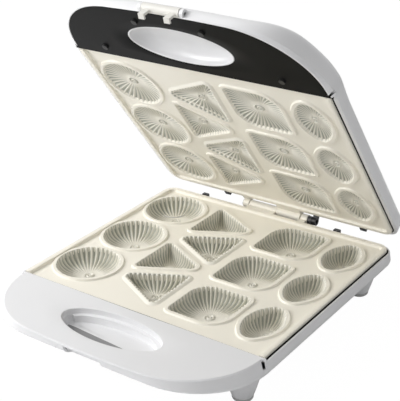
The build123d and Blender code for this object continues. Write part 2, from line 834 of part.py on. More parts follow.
with BuildPart() as base_handle_panel:
    extrude(handle_region(panel_under, lid_rim_width + panel_gap, plate_front - panel_rear_gap),
            amount=panel_thickness)
    add(finger_dish(base_plane, dish_wall, dish_depth + dish_wall, dish_ledge_depth + dish_wall))
    add(finger_dish(base_plane, 0, dish_depth, dish_ledge_depth), mode=Mode.SUBTRACT)
    with BuildSketch(Plane.XY.offset(base_plane - dish_depth - 2 * dish_wall)):
        with Locations((0, dish_y - dish_half_width / 2)):
            SlotOverall(dish_slot_length, dish_slot_width)
        add(dish_outline(0, -dish_ledge - dish_wall), mode=Mode.INTERSECT)
    extrude(amount=3 * dish_wall, mode=Mode.SUBTRACT)
    extrude(discs(panel_under, panel_posts, peg_radius), amount=-panel_peg)
base_handle_panel.part.label = "base_handle_panel"
export_step(base_handle_panel.part, "parts/base_handle_panel.step")

with BuildPart() as rubber_feet:
    extrude(discs(0, foot_places, leg_foot_radius), amount=pad_height)
    fillet(rubber_feet.faces().group_by(Axis.Z)[0].edges(), pad_round)
    extrude(discs(pad_height, foot_places, pad_peg_radius), amount=pad_peg_length)
rubber_feet.part.label = "rubber_feet"
export_step(rubber_feet.part, "parts/rubber_feet.step")

with BuildPart() as bottom_cover:
    with BuildSketch(Plane.XY.offset(keel_level)):
        with Locations((0, cover_y)):
            Rectangle(cover_width, cover_depth)
            with GridLocations(*cover_screw_grid):
                Circle(screw_radius + fit_gap, mode=Mode.SUBTRACT)
            with GridLocations(0, vent_pitch, 1, vent_count):
                SlotOverall(vent_length, vent_width, mode=Mode.SUBTRACT)
    extrude(amount=cover_sheet)
bottom_cover.part.label = "bottom_cover"
export_step(bottom_cover.part, "parts/bottom_cover.step")

with BuildPart() as bottom_cover_screws:
    corner_x = cover_width / 2 - cover_screw_inset
    corner_y = cover_depth / 2 - cover_screw_inset
    corners = [(x, cover_y - plate_y + y) for x in (-corner_x, corner_x) for y in (-corner_y, corner_y)]
    add(screws(keel_level, corners, 1, cover_screw_length))
bottom_cover_screws.part.label = "bottom_cover_screws"
export_step(bottom_cover_screws.part, "parts/bottom_cover_screws.step")

with BuildPart() as thermostat:
    thermostat_place = [(leaf_x, row_shift)]
    extrude(discs(lower_shield + reflector_sheet, thermostat_place, thermostat_radius),
            amount=lower_back - lower_shield - reflector_sheet)
thermostat.part.label = "thermostat"
export_step(thermostat.part, "parts/thermostat.step")

with BuildPart() as terminal_block:
    add(block(block_x - block_length / 2, block_x + block_length / 2, block_rear - block_depth,
              block_rear, floor_level, floor_level + block_height))
    with BuildSketch(Plane.YZ.offset(block_x - block_length / 2)):
        with Locations((block_rear - block_depth / 2, floor_level + block_height)):
            Circle(fuse_radius + fit_gap)
    extrude(amount=block_length, mode=Mode.SUBTRACT)
terminal_block.part.label = "terminal_block"
export_step(terminal_block.part, "parts/terminal_block.step")

with BuildPart() as thermal_fuse:
    with BuildSketch(Plane.YZ.offset(block_x - fuse_length / 2)):
        with Locations((block_rear - block_depth / 2, floor_level + block_height)):
            Circle(fuse_radius)
    extrude(amount=fuse_length)
thermal_fuse.part.label = "thermal_fuse"
export_step(thermal_fuse.part, "parts/thermal_fuse.step")

with BuildPart() as cord_gland:
    add(rods([gland_x], gland_z, gland_face + gland_flange, gland_face, gland_flange_radius))
    add(rods([gland_x], gland_z, gland_face, gland_face - gland_length, gland_radius))
    add(rods([gland_x], gland_z, gland_face + gland_flange, gland_face - gland_length, gland_bore),
        mode=Mode.SUBTRACT)
cord_gland.part.label = "cord_gland"
export_step(cord_gland.part, "parts/cord_gland.step")

with BuildPart() as hinge_pin:
    with BuildSketch(Plane.YZ.offset(lid_knuckles[0][0] - side_gap)):
        with Locations((hinge_y, hinge_z)):
            Circle(pin_radius)
    extrude(amount=elbow_x[0] - 2 * side_gap - lid_knuckles[0][0])
    with BuildSketch(Plane.YZ.offset(lid_knuckles[0][0] - side_gap)):
        with Locations((hinge_y, hinge_z)):
            Circle(pin_head_radius)
    extrude(amount=-pin_head)
hinge_pin.part.label = "hinge_pin"
export_step(hinge_pin.part, "parts/hinge_pin.step")


def plate_clips(places):
    """Mould the clips that hold a plate's rear edge, each a button with a nose and a stem."""
    with BuildPart() as clips:
        for x in places:
            left = x - clip_button_width / 2
            right = x + clip_button_width / 2
            nose = face_height + clip_nose_level
            add(block(left, right, housing_rear, housing_rear + clip_button_depth,
                      face_height + clip_button_bottom, face_height + clip_button_top))
            add(block(left, right, plate_rear - clip_nose_reach, housing_rear, nose,
                      nose + clip_nose_height))
        add(rods(places, stem_z, housing_rear, housing_rear - clip_stem_length, clip_stem_radius))
    return clips.part


def lead_elbow(left, arm_level, way):
    """Mould the elbow that leads the wires out of a housing and round the hinge's axis."""
    half_arm = elbow_arm / 2
    with BuildPart() as elbow:
        with BuildSketch(Plane.YZ.offset(left)):
            with BuildLine():
                Polyline((hinge_y - elbow_radius + elbow_lap, hinge_z - way * half_arm / 2),
                         (housing_rear + half_arm / 2, arm_level + way * half_arm),
                         (housing_rear - elbow_reach, arm_level + way * half_arm),
                         (housing_rear - elbow_reach, arm_level - way * half_arm),
                         (housing_rear + elbow_radius, arm_level - way * half_arm),
                         (hinge_y + elbow_radius - elbow_lap, hinge_z - way * half_arm), close=True)
            make_face()
            with Locations((hinge_y, hinge_z)):
                Circle(elbow_radius)
                Circle(elbow_bore, mode=Mode.SUBTRACT)
        extrude(amount=elbow_width)
    return elbow.part


elbow_level = face_height - elbow_drop

with BuildPart() as base_plate_clips:
    add(plate_clips(base_button_x))
base_plate_clips.part.label = "base_plate_clips"
export_step(base_plate_clips.part, "parts/base_plate_clips.step")

with BuildPart() as base_lead_elbow:
    add(lead_elbow(elbow_x[0], elbow_level, 1))
base_lead_elbow.part.label = "base_lead_elbow"
export_step(base_lead_elbow.part, "parts/base_lead_elbow.step")

# Lid: cooking plate, heating rod, clips, screws and heat shield, drawn face up and turned over
with BuildPart() as upper_plate:
    add(turned_over(cast_plate(upper_mould_depth, upper_draft, upper_toe, upper_draft, lid_knuckles,
                               plate_gap - hinge_rise, lid_button_x)))
upper_plate.part.move(swing)
upper_plate.part.label = "upper_plate"
export_step(upper_plate.part, "parts/upper_plate.step")

with BuildPart() as upper_element:
    add(turned_over(bent_element(upper_back)))
upper_element.part.move(swing)
upper_element.part.label = "upper_element"
export_step(upper_element.part, "parts/upper_element.step")

with BuildPart() as upper_element_clips:
    add(turned_over(element_clips(upper_back)))
upper_element_clips.part.move(swing)
upper_element_clips.part.label = "upper_element_clips"
export_step(upper_element_clips.part, "parts/upper_element_clips.step")

with BuildPart() as upper_clip_screws:
    add(turned_over(screws(upper_back - element_radius - clip_sheet, clip_screw_places, 1,
                           clip_screw_length)))
upper_clip_screws.part.move(swing)
upper_clip_screws.part.label = "upper_clip_screws"
export_step(upper_clip_screws.part, "parts/upper_clip_screws.step")

with BuildPart() as upper_reflector:
    add(turned_over(reflector(upper_shield)))
upper_reflector.part.move(swing)
upper_reflector.part.label = "upper_reflector"
export_step(upper_reflector.part, "parts/upper_reflector.step")

with BuildPart() as lid_plate_clips:
    add(turned_over(plate_clips(lid_button_x)))
lid_plate_clips.part.move(swing)
lid_plate_clips.part.label = "lid_plate_clips"
export_step(lid_plate_clips.part, "parts/lid_plate_clips.step")

with BuildPart() as lid_lead_elbow:
    add(lead_elbow(elbow_x[1], lid_face + elbow_drop, -1))
lid_lead_elbow.part.move(swing)
lid_lead_elbow.part.label = "lid_lead_elbow"
export_step(lid_lead_elbow.part, "parts/lid_lead_elbow.step")

# Lid housing: a flared rim, a rounded edge and a low crown
lid_plane = lid_face - handle_rise
lid_waist_level = lid_face + lid_waist_rise
lid_edge_level = lid_waist_level + lid_edge_height
crown_level = lid_edge_level + lid_crown
panel_top = lid_plane + panel_thickness
plate_back = lid_face + plate_skin
shield_back = 2 * mid_gap - upper_shield
crossbar_top = 2 * mid_gap - crossbar_under
lid_stem_z = 2 * mid_gap - stem_z
latch_y = base_front - latch_ahead
latch_z = lid_face + latch_level
latch_bay = latch_radius + latch_gap
lid_low = lid_plane - overshoot
crown_y = plate_y + lid_crown_y


def crown_outline(level, share):
    """Draw the crown's outline at a level, as a share of the edge's inner line."""
    with BuildSketch(Plane.XY.offset(level)) as outline:
        with Locations((0, (1 - share) * crown_y)):
            add(scale(shell_outline(0, lid_waist, lid_edge_radius), by=share))
    return outline.sketch


with BuildPart() as lid_outside:
    extrude(shell_outline(lid_waist_level, lid_waist), amount=lid_edge_height)
    fillet(lid_outside.faces().sort_by(Axis.Z)[-1].edges(), lid_edge_radius)
    loft([shell_outline(lid_plane, handle_edge, -lid_rim_width).face(),
          shell_outline(lid_waist_level, lid_waist).face()], ruled=True)
    loft([crown_outline(lid_edge_level - crown_root, root_share).face(),
          crown_outline(lid_edge_level + lid_crown * shoulder_rise, shoulder_share).face(),
          crown_outline(crown_level, lid_crown_share).face()])

with BuildPart() as lid_inside:
    extrude(handle_region(lid_plane, -panel_gap, plate_front), amount=panel_thickness)
    with BuildSketch(Plane.XY.offset(lid_plane)):
        add(shell_outline(lid_plane, handle_edge, lid_rim_width, slit_lip))
        with Locations((0, plate_front - crossbar_depth)):
            Rectangle(3 * housing_half, plate_depth, align=(Align.CENTER, Align.MAX), mode=Mode.SUBTRACT)
    extrude(amount=lid_edge_height)
    extrude(shell_outline(panel_top, lid_waist, side_flange), amount=lid_inner_rise)
    extrude(shell_outline(panel_top + lid_inner_rise, lid_waist, lid_bend_inset),
            amount=lid_edge_level - lid_cover - panel_top - lid_inner_rise)
    loft([crown_outline(lid_edge_level - lid_cover, 1).face(),
          crown_outline(lid_edge_level - lid_cover + lid_crown * shoulder_rise, shoulder_share).face(),
          crown_outline(crown_level - lid_cover, lid_crown_share).face()])

with BuildPart() as lid_frames:
    extrude(handle_region(panel_top, -lid_rim_width, plate_front), amount=ledge_height)
    extrude(handle_region(panel_top, dish_wall + lid_rim_width, plate_front), amount=ledge_height,
            mode=Mode.SUBTRACT)
    add(block(-lip_half, lip_half, plate_front - crossbar_depth - panel_rear_gap,
              plate_front - panel_rear_gap, panel_top, crossbar_top))
    extrude(discs(panel_top, panel_posts, post_radius), amount=crown_level - panel_top)
    extrude(discs(plate_back, plate_posts, post_radius), amount=crown_level - plate_back)
    extrude(discs(shield_back, reflector_posts, post_radius), amount=crown_level - shield_back)
    extrude(discs(shield_back - 2 * reflector_sheet, reflector_posts, peg_radius),
            amount=crown_level - shield_back)
    add(rods(lid_button_x, lid_stem_z, housing_rear, housing_rear - stem_boss_depth, post_radius))
    loft([dish_outline(lid_plane, dish_rim).face(),
          dish_outline(lid_plane + dish_depth + dish_wall, -dish_ledge).face()], ruled=True)
    extrude(discs(lid_plane + dish_depth, dish_posts, post_radius),
            amount=crown_level - lid_plane - dish_depth)
    add(lid_outside.part, mode=Mode.INTERSECT)

with BuildPart() as lid_housing:
    add(lid_outside.part)
    add(lid_inside.part, mode=Mode.SUBTRACT)
    add(lid_frames.part)
    # The bay of the plate, its slit and the rear wall
    add(block(-2 * lip_half, 2 * lip_half, plate_front - slit_start, 2 * housing_rear,
              lid_low, 2 * mid_gap - side_lip_level), mode=Mode.SUBTRACT)
    add(block(-rear_wall_half, rear_wall_half, hidden_rear, 2 * housing_rear, lid_low,
              2 * mid_gap - rear_wall_level), mode=Mode.SUBTRACT)
    add(block(*hinge_notch, plate_rear - overshoot, 2 * housing_rear, lid_low, lid_face + hinge_notch_drop),
        mode=Mode.SUBTRACT)
    add(block(*lead_notch, plate_rear - overshoot, 2 * housing_rear, lid_low, lid_face + lead_notch_drop),
        mode=Mode.SUBTRACT)
    # The finger dish behind the panel
    add(finger_dish(lid_plane, 0, dish_depth, dish_ledge_depth, 1), mode=Mode.SUBTRACT)
    # The bay of the latch, with an ear at either end for its pin
    add(block(-latch_width / 2 - latch_gap, latch_width / 2 + latch_gap, latch_y - 2 * latch_bay,
              latch_y + latch_bay, lid_low, latch_z + latch_bay), mode=Mode.SUBTRACT)
    for side in (-1, 1):
        ear_start = side * (latch_width / 2 + latch_gap)
        with BuildSketch(Plane.YZ.offset(ear_start)):
            with Locations((latch_y, latch_z)):
                Circle(ear_radius)
        extrude(amount=side * ear_width)
        with BuildSketch(Plane.YZ.offset(ear_start)):
            with Locations((latch_y, latch_z)):
                Circle(latch_pin_radius + pin_clearance)
        extrude(amount=side * ear_width, mode=Mode.SUBTRACT)
    # The screw, lamp and stem holes
    extrude(discs(panel_top, panel_posts, screw_radius + pin_clearance), amount=panel_screw_length,
            mode=Mode.SUBTRACT)
    extrude(discs(crown_level - 2 * lid_cover, lamp_places, lamp_radius + fit_gap), amount=2 * lid_cover,
            mode=Mode.SUBTRACT)
    add(rods(lid_button_x, lid_stem_z, housing_rear, housing_rear - clip_stem_length - fit_gap,
             clip_stem_radius + pin_clearance), mode=Mode.SUBTRACT)
lid_housing.part.move(swing)
lid_housing.part.label = "lid_housing"
export_step(lid_housing.part, "parts/lid_housing.step")

with BuildPart() as lid_handle_panel:
    extrude(handle_region(lid_plane, 0, plate_front - panel_rear_gap), amount=panel_thickness)
    extrude(dish_outline(lid_plane, dish_rim + fit_gap), amount=panel_thickness, mode=Mode.SUBTRACT)
    add(block(-latch_width / 2 - 2 * latch_gap, latch_width / 2 + 2 * latch_gap, latch_y - 2 * latch_bay,
              latch_y + latch_bay, lid_low, latch_z), mode=Mode.SUBTRACT)
    ear_end = latch_width / 2 + latch_gap + ear_width + side_gap
    add(block(-ear_end, ear_end, latch_y - 2 * latch_bay, latch_y + ear_radius + side_gap,
              lid_low, latch_z), mode=Mode.SUBTRACT)
    extrude(discs(lid_plane, panel_posts, screw_radius + fit_gap), amount=panel_thickness,
            mode=Mode.SUBTRACT)
lid_handle_panel.part.move(swing)
lid_handle_panel.part.label = "lid_handle_panel"
export_step(lid_handle_panel.part, "parts/lid_handle_panel.step")

with BuildPart() as lid_panel_screws:
    add(screws(lid_plane, panel_posts, 1, panel_thickness + panel_screw_length - fit_gap))
lid_panel_screws.part.move(swing)
lid_panel_screws.part.label = "lid_panel_screws"
export_step(lid_panel_screws.part, "parts/lid_panel_screws.step")

# Pilot lamps in the crown, two lenses on one holder
with BuildPart() as lamp_holder:
    lamp_y = plate_y + lamp_from_plate_middle
    add(block(-lamp_holder_width / 2, lamp_holder_width / 2, lamp_y - lamp_holder_depth / 2,
              lamp_y + lamp_holder_depth / 2, crown_level - lid_cover - lamp_holder_height,
              crown_level - lid_cover))
lamp_holder.part.move(swing)
lamp_holder.part.label = "lamp_holder"
export_step(lamp_holder.part, "parts/lamp_holder.step")

with BuildPart() as power_lamp_lens:
    extrude(discs(crown_level - lid_cover, lamp_places[:1], lamp_radius), amount=lid_cover + lamp_rise)
    fillet(power_lamp_lens.faces().sort_by(Axis.Z)[-1].edges(), lamp_rise / 2)
power_lamp_lens.part.move(swing)
power_lamp_lens.part.label = "power_lamp_lens"
export_step(power_lamp_lens.part, "parts/power_lamp_lens.step")

with BuildPart() as ready_lamp_lens:
    extrude(discs(crown_level - lid_cover, lamp_places[1:], lamp_radius), amount=lid_cover + lamp_rise)
    fillet(ready_lamp_lens.faces().sort_by(Axis.Z)[-1].edges(), lamp_rise / 2)
ready_lamp_lens.part.move(swing)
ready_lamp_lens.part.label = "ready_lamp_lens"
export_step(ready_lamp_lens.part, "parts/ready_lamp_lens.step")

# Latch: a roll with two hooks, swung a little outward from where it hooks the base
latch_swing_out = Location((0, latch_y, latch_z)) * Location((0, 0, 0), (-latch_swing, 0, 0))
latch_swing_out = swing * latch_swing_out * Location((0, -latch_y, -latch_z))

with BuildPart() as latch_clip:
    with BuildSketch(Plane.YZ.offset(-latch_width / 2)):
        with Locations((latch_y, latch_z)):
            Circle(latch_radius)
    extrude(amount=latch_width)
    for x in (-hook_spacing / 2, hook_spacing / 2):
        hook_front = latch_y - hook_thickness / 2
        hook_rear = hook_front + hook_thickness
        left = x - hook_width / 2
        right = x + hook_width / 2
        add(block(left, right, hook_front, hook_rear, latch_z - hook_length, latch_z))
        add(block(left, right, hook_rear, hook_rear + hook_nose, latch_z - hook_length,
                  latch_z - hook_length + hook_nose_height))
    with BuildSketch(Plane.YZ.offset(-latch_width / 2)):
        with Locations((latch_y, latch_z)):
            Circle(latch_pin_radius + pin_clearance)
    extrude(amount=latch_width, mode=Mode.SUBTRACT)
    with BuildSketch(Plane.YZ.offset(latch_width / 2)):
        with Locations((latch_y, latch_z)):
            Circle(latch_hollow_radius)
    extrude(amount=-latch_hollow, mode=Mode.SUBTRACT)
latch_clip.part.move(latch_swing_out)
latch_clip.part.label = "latch_clip"
export_step(latch_clip.part, "parts/latch_clip.step")

with BuildPart() as latch_pin:
    pin_half = latch_width / 2 + latch_gap + ear_width
    with BuildSketch(Plane.YZ.offset(-pin_half)):
        with Locations((latch_y, latch_z)):
            Circle(latch_pin_radius)
    extrude(amount=2 * pin_half)
latch_pin.part.move(swing)
latch_pin.part.label = "latch_pin"
export_step(latch_pin.part, "parts/latch_pin.step")

hinge_point = swing * Location((0, hinge_y, hinge_z))
latch_point = swing * Location((0, latch_y, latch_z))
print("hinge axis at", hinge_point.position)
print("latch axis at", latch_point.position)
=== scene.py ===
"""Dress the open cookie maker: coated plates, white shells, charcoal panel, latch, hinge and feet."""

import logging
from dataclasses import dataclass, field
from enum import Enum

import bmesh
import bpy
import numpy as np
from mathutils import Matrix, Vector


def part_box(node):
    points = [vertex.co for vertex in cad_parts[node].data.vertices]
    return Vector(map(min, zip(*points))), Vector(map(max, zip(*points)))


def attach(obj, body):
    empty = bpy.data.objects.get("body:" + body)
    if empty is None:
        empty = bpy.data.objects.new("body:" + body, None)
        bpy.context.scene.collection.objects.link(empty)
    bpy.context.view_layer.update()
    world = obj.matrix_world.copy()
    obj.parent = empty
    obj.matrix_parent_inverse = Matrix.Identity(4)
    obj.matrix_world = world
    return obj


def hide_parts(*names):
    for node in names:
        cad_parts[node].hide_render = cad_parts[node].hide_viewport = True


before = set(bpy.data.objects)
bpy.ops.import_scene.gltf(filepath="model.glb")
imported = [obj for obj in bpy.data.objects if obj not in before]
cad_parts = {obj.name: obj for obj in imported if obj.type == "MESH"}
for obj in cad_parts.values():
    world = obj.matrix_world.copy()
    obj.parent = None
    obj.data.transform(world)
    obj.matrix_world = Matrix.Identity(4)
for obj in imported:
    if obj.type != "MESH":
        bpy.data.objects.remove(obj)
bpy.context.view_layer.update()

MM = 0.001
WELD_REACH = 2e-6
LOG = logging.getLogger("cookie_maker")


class Side(Enum):
    """Which half of the cooker a plate or shell belongs to."""

    BASE = "base"
    LID = "lid"


class Mould(Enum):
    """The shapes of mould in the plates, each with its number of flutes."""

    ROUND = 36
    TRIANGLE_LEFT = 38
    TRIANGLE_RIGHT = 39
    LEAF = 44
    OVAL = 32


def hinge_axis() -> tuple[float, float]:
    """Read the hinge's axis from its pin.

    Returns:
        Its y and z in millimetres.
    """
    low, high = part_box("hinge_pin")
    return (low.y + high.y) / 2 / MM, (low.z + high.z) / 2 / MM


@dataclass(frozen=True)
class Layout:
    """Sizes shared by the two halves, in millimetres, with the hinge where the construction has it."""

    hinge_y: float
    hinge_z: float
    plate_width: float = 265.8
    plate_depth: float = 229.2
    hinge_behind: float = 10.5
    face: float = 45.0
    gap: float = 6.4
    rim_height: float = 2.8
    rim_width: float = 4.6
    rear_corner: float = 11.0
    open_angle: float = 52.9
    handle_reach: float = 75.7
    rear_overhang: float = 2.6
    slit_start: float = 1.4

    @property
    def plate_y(self) -> float:
        """Middle of the plates along y."""
        return self.hinge_y - self.hinge_behind - self.plate_depth / 2

    @property
    def mirror_z(self) -> float:
        """Level of the middle of the gap between the closed plates."""
        return self.face + self.gap / 2

    @property
    def front(self) -> float:
        """Front edge of the plates."""
        return self.plate_y - self.plate_depth / 2

    @property
    def rear(self) -> float:
        """Rear edge of the plates."""
        return self.plate_y + self.plate_depth / 2

    @property
    def shell_front(self) -> float:
        """Front of the handles."""
        return self.front - self.handle_reach

    @property
    def shell_rear(self) -> float:
        """Back of the shells."""
        return self.rear + self.rear_overhang


LAYOUT = Layout(*hinge_axis())


def swung(points: np.ndarray) -> np.ndarray:
    """Turn points of the closed lid about the hinge's axis to its open place.

    Args:
        points: an array of millimetre coordinates whose last axis holds x, y and z.

    Returns:
        The turned points, by the plane rotation y' = y cos + z sin, z' = z cos - y sin.
    """
    angle = np.radians(LAYOUT.open_angle)
    y = points[..., 1] - LAYOUT.hinge_y
    z = points[..., 2] - LAYOUT.hinge_z
    turned = points.copy()
    turned[..., 1] = y * np.cos(angle) + z * np.sin(angle) + LAYOUT.hinge_y
    turned[..., 2] = z * np.cos(angle) - y * np.sin(angle) + LAYOUT.hinge_z
    return turned


def placed(points: np.ndarray, side: Side, face_up: bool = False) -> np.ndarray:
    """Bring points to the open cooker.

    Args:
        points: millimetre coordinates, of the base or of the closed lid.
        side: the half that they belong to.
        face_up: whether lid points are still drawn face up, to be mirrored over the plates' gap.

    Returns:
        The points in the cooker's frame, still in millimetres.
    """
    if side is Side.BASE:
        return points
    closed = points.copy()
    if face_up:
        closed[..., 2] = 2 * LAYOUT.mirror_z - closed[..., 2]
    return swung(closed)


def ring(flat: np.ndarray, level: np.ndarray | float) -> np.ndarray:
    """Put a level beside the x and y of a ring of points."""
    heights = np.broadcast_to(level, (len(flat),))
    return np.concatenate([flat, heights[:, None]], axis=-1)


def unit(rows: np.ndarray) -> np.ndarray:
    """Scale rows of x and y to a length of one."""
    return rows / np.hypot(*rows.T)[:, None]


def eased(part: np.ndarray) -> np.ndarray:
    """Ease shares by the smooth step 3t^2 - 2t^3, level below 0 and above 1."""
    share = np.clip(part, 0, 1)
    return share**2 * (3 - 2 * share)


def bend(start: np.ndarray | float, control: np.ndarray | float, end: np.ndarray | float,
         part: float) -> np.ndarray | float:
    """Give a quadratic Bezier bend: start (1-t)^2 + control 2t(1-t) + end t^2."""
    return start * (1 - part)**2 + control * (2 * part * (1 - part)) + end * part**2


def pressed(rings: list[np.ndarray], inside: np.ndarray, top: float, back: float) -> list[np.ndarray]:
    """Press a bay into the front of a shell.

    Args:
        rings: the shell's rings.
        inside: which columns lie in the bay.
        top: the level under which points move.
        back: the bay's back wall along y.

    Returns:
        The rings, with each point of the bay on its back wall or behind it.
    """
    moved = np.stack(rings)
    moved[inside & (moved[..., 2] < top) & (moved[..., 1] < back), 1] = back
    return list(moved)


@dataclass
class Patch:
    """A surface patch: vertices in millimetres, faces as index rows, one material number a face.

    The shade holds two values a vertex, which its material reads as UV coordinates.
    """

    points: np.ndarray
    faces: np.ndarray
    material: np.ndarray
    shade: np.ndarray

    @classmethod
    def grid(cls, points: np.ndarray, wrap: bool = True, flip: bool = False, material: int = 0,
             shade: np.ndarray | None = None) -> "Patch":
        """Join a grid of points into quads.

        Args:
            points: rows by columns by three.
            wrap: whether the last column joins the first.
            flip: whether to turn the faces over.
            material: the patch's material number.
            shade: rows by columns by two, or none.

        Returns:
            The patch, where quad (i, j) has the corners (i, j), (i, j+1), (i+1, j+1), (i+1, j).
        """
        rows, columns = points.shape[:2]
        index = np.arange(rows * columns).reshape(rows, columns)
        closed = np.concatenate([index, index[:, :1]], axis=1) if wrap else index
        quads = np.stack([closed[:-1, :-1], closed[:-1, 1:], closed[1:, 1:], closed[1:, :-1]], axis=-1)
        quads = quads.reshape(-1, 4)
        values = np.zeros((rows * columns, 2)) if shade is None else shade.reshape(-1, 2)
        return cls(points.reshape(-1, 3), quads[:, ::-1] if flip else quads,
                   np.full(len(quads), material), values)

    @classmethod
    def cap(cls, loop: np.ndarray, flip: bool = False, material: int = 0,
            shade: tuple[float, float] = (0.0, 0.0)) -> "Patch":
        """Close a loop of points with a fan of triangles about its middle.

        Args:
            loop: the points of a closed loop.
            flip: whether to turn the faces over.
            material: the patch's material number.
            shade: the two shade values of all its vertices.

        Returns:
            The fan, one triangle for each step round the loop.
        """
        count = len(loop)
        step = np.arange(count)
        faces = np.stack([step, (step + 1) % count, np.full(count, count)], axis=-1)
        points = np.vstack([loop, loop.mean(axis=0)])
        return cls(points, faces[:, ::-1] if flip else faces, np.full(count, material),
                   np.tile(shade, (count + 1, 1)))


def build(name: str, patches: list[Patch], side: Side, materials: list[bpy.types.Material],
          face_up: bool = False, crease: float = 40.0) -> bpy.types.Object:
    """Make one object from patches and let it ride on its half of the cooker.

    Args:
        name: the piece's name.
        patches: its surface patches, in millimetres, whose shared edges are welded.
        side: the half that it belongs to.
        materials: its materials, in the order of the patches' numbers.
        face_up: whether lid points are drawn face up.
        crease: the angle in degrees past which an edge stays sharp.

    Returns:
        The new object, with its place in its mesh.
    """
    points = np.concatenate([placed(patch.points, side, face_up) for patch in patches]) * MM
    offsets = np.cumsum([0] + [len(patch.points) for patch in patches])
    turn = side is Side.LID and face_up
    faces: list = []
    for patch, offset in zip(patches, offsets):
        moved = patch.faces + offset
        faces += (moved[:, ::-1] if turn else moved).tolist()
    mesh = bpy.data.meshes.new(name)
    mesh.from_pydata(points.tolist(), [], faces)
    mesh.polygons.foreach_set("material_index", np.concatenate([patch.material for patch in patches]))
    corners = np.empty(len(mesh.loops), dtype=np.int32)
    mesh.loops.foreach_get("vertex_index", corners)
    shade = np.concatenate([patch.shade for patch in patches])
    mesh.uv_layers.new(name="shade").data.foreach_set("uv", shade[corners].ravel())
    for material in materials:
        mesh.materials.append(material)
    weld(mesh)
    mesh.shade_smooth()
    mesh.set_sharp_from_angle(angle=np.radians(crease))
    piece = bpy.data.objects.new(name, mesh)
    bpy.context.scene.collection.objects.link(piece)
    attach(piece, side.value)
    LOG.info("%s: %d faces", name, len(mesh.polygons))
    return piece


def weld(mesh: bpy.types.Mesh) -> None:
    """Join vertices of a mesh that lie in one place.

    Args:
        mesh: the mesh, whose collapsed faces go too.
    """
    work = bmesh.new()
    work.from_mesh(mesh)
    bmesh.ops.remove_doubles(work, verts=work.verts, dist=WELD_REACH)
    bmesh.ops.dissolve_degenerate(work, edges=work.edges, dist=WELD_REACH / 2)
    work.to_mesh(mesh)
    work.free()


# Outlines of the shells


def tangent_arc(start: np.ndarray, heading: float, end: np.ndarray, count: int) -> tuple[np.ndarray, float]:
    """Sample the arc that leaves a point along a heading and ends at another point.

    Args:
        start: first point, x and y.
        heading: direction of travel at the start, in radians.
        end: last point.
        count: number of points after the first.

    Returns:
        The points after the first, and the heading at the end. The heading turns by twice the angle
        between it and the chord, and the radius is the chord over twice that half angle's sine.
    """
    chord = end - start
    half_turn = np.arctan2(chord[1], chord[0]) - heading
    half_turn = (half_turn + np.pi) % (2 * np.pi) - np.pi
    radius = np.hypot(*chord) / (2 * np.sin(half_turn))
    turns = heading + 2 * half_turn * np.linspace(0, 1, count + 1)[1:]
    x = start[0] + radius * (np.sin(turns) - np.sin(heading))
    y = start[1] - radius * (np.cos(turns) - np.cos(heading))
    return np.stack([x, y], axis=-1), heading + 2 * half_turn


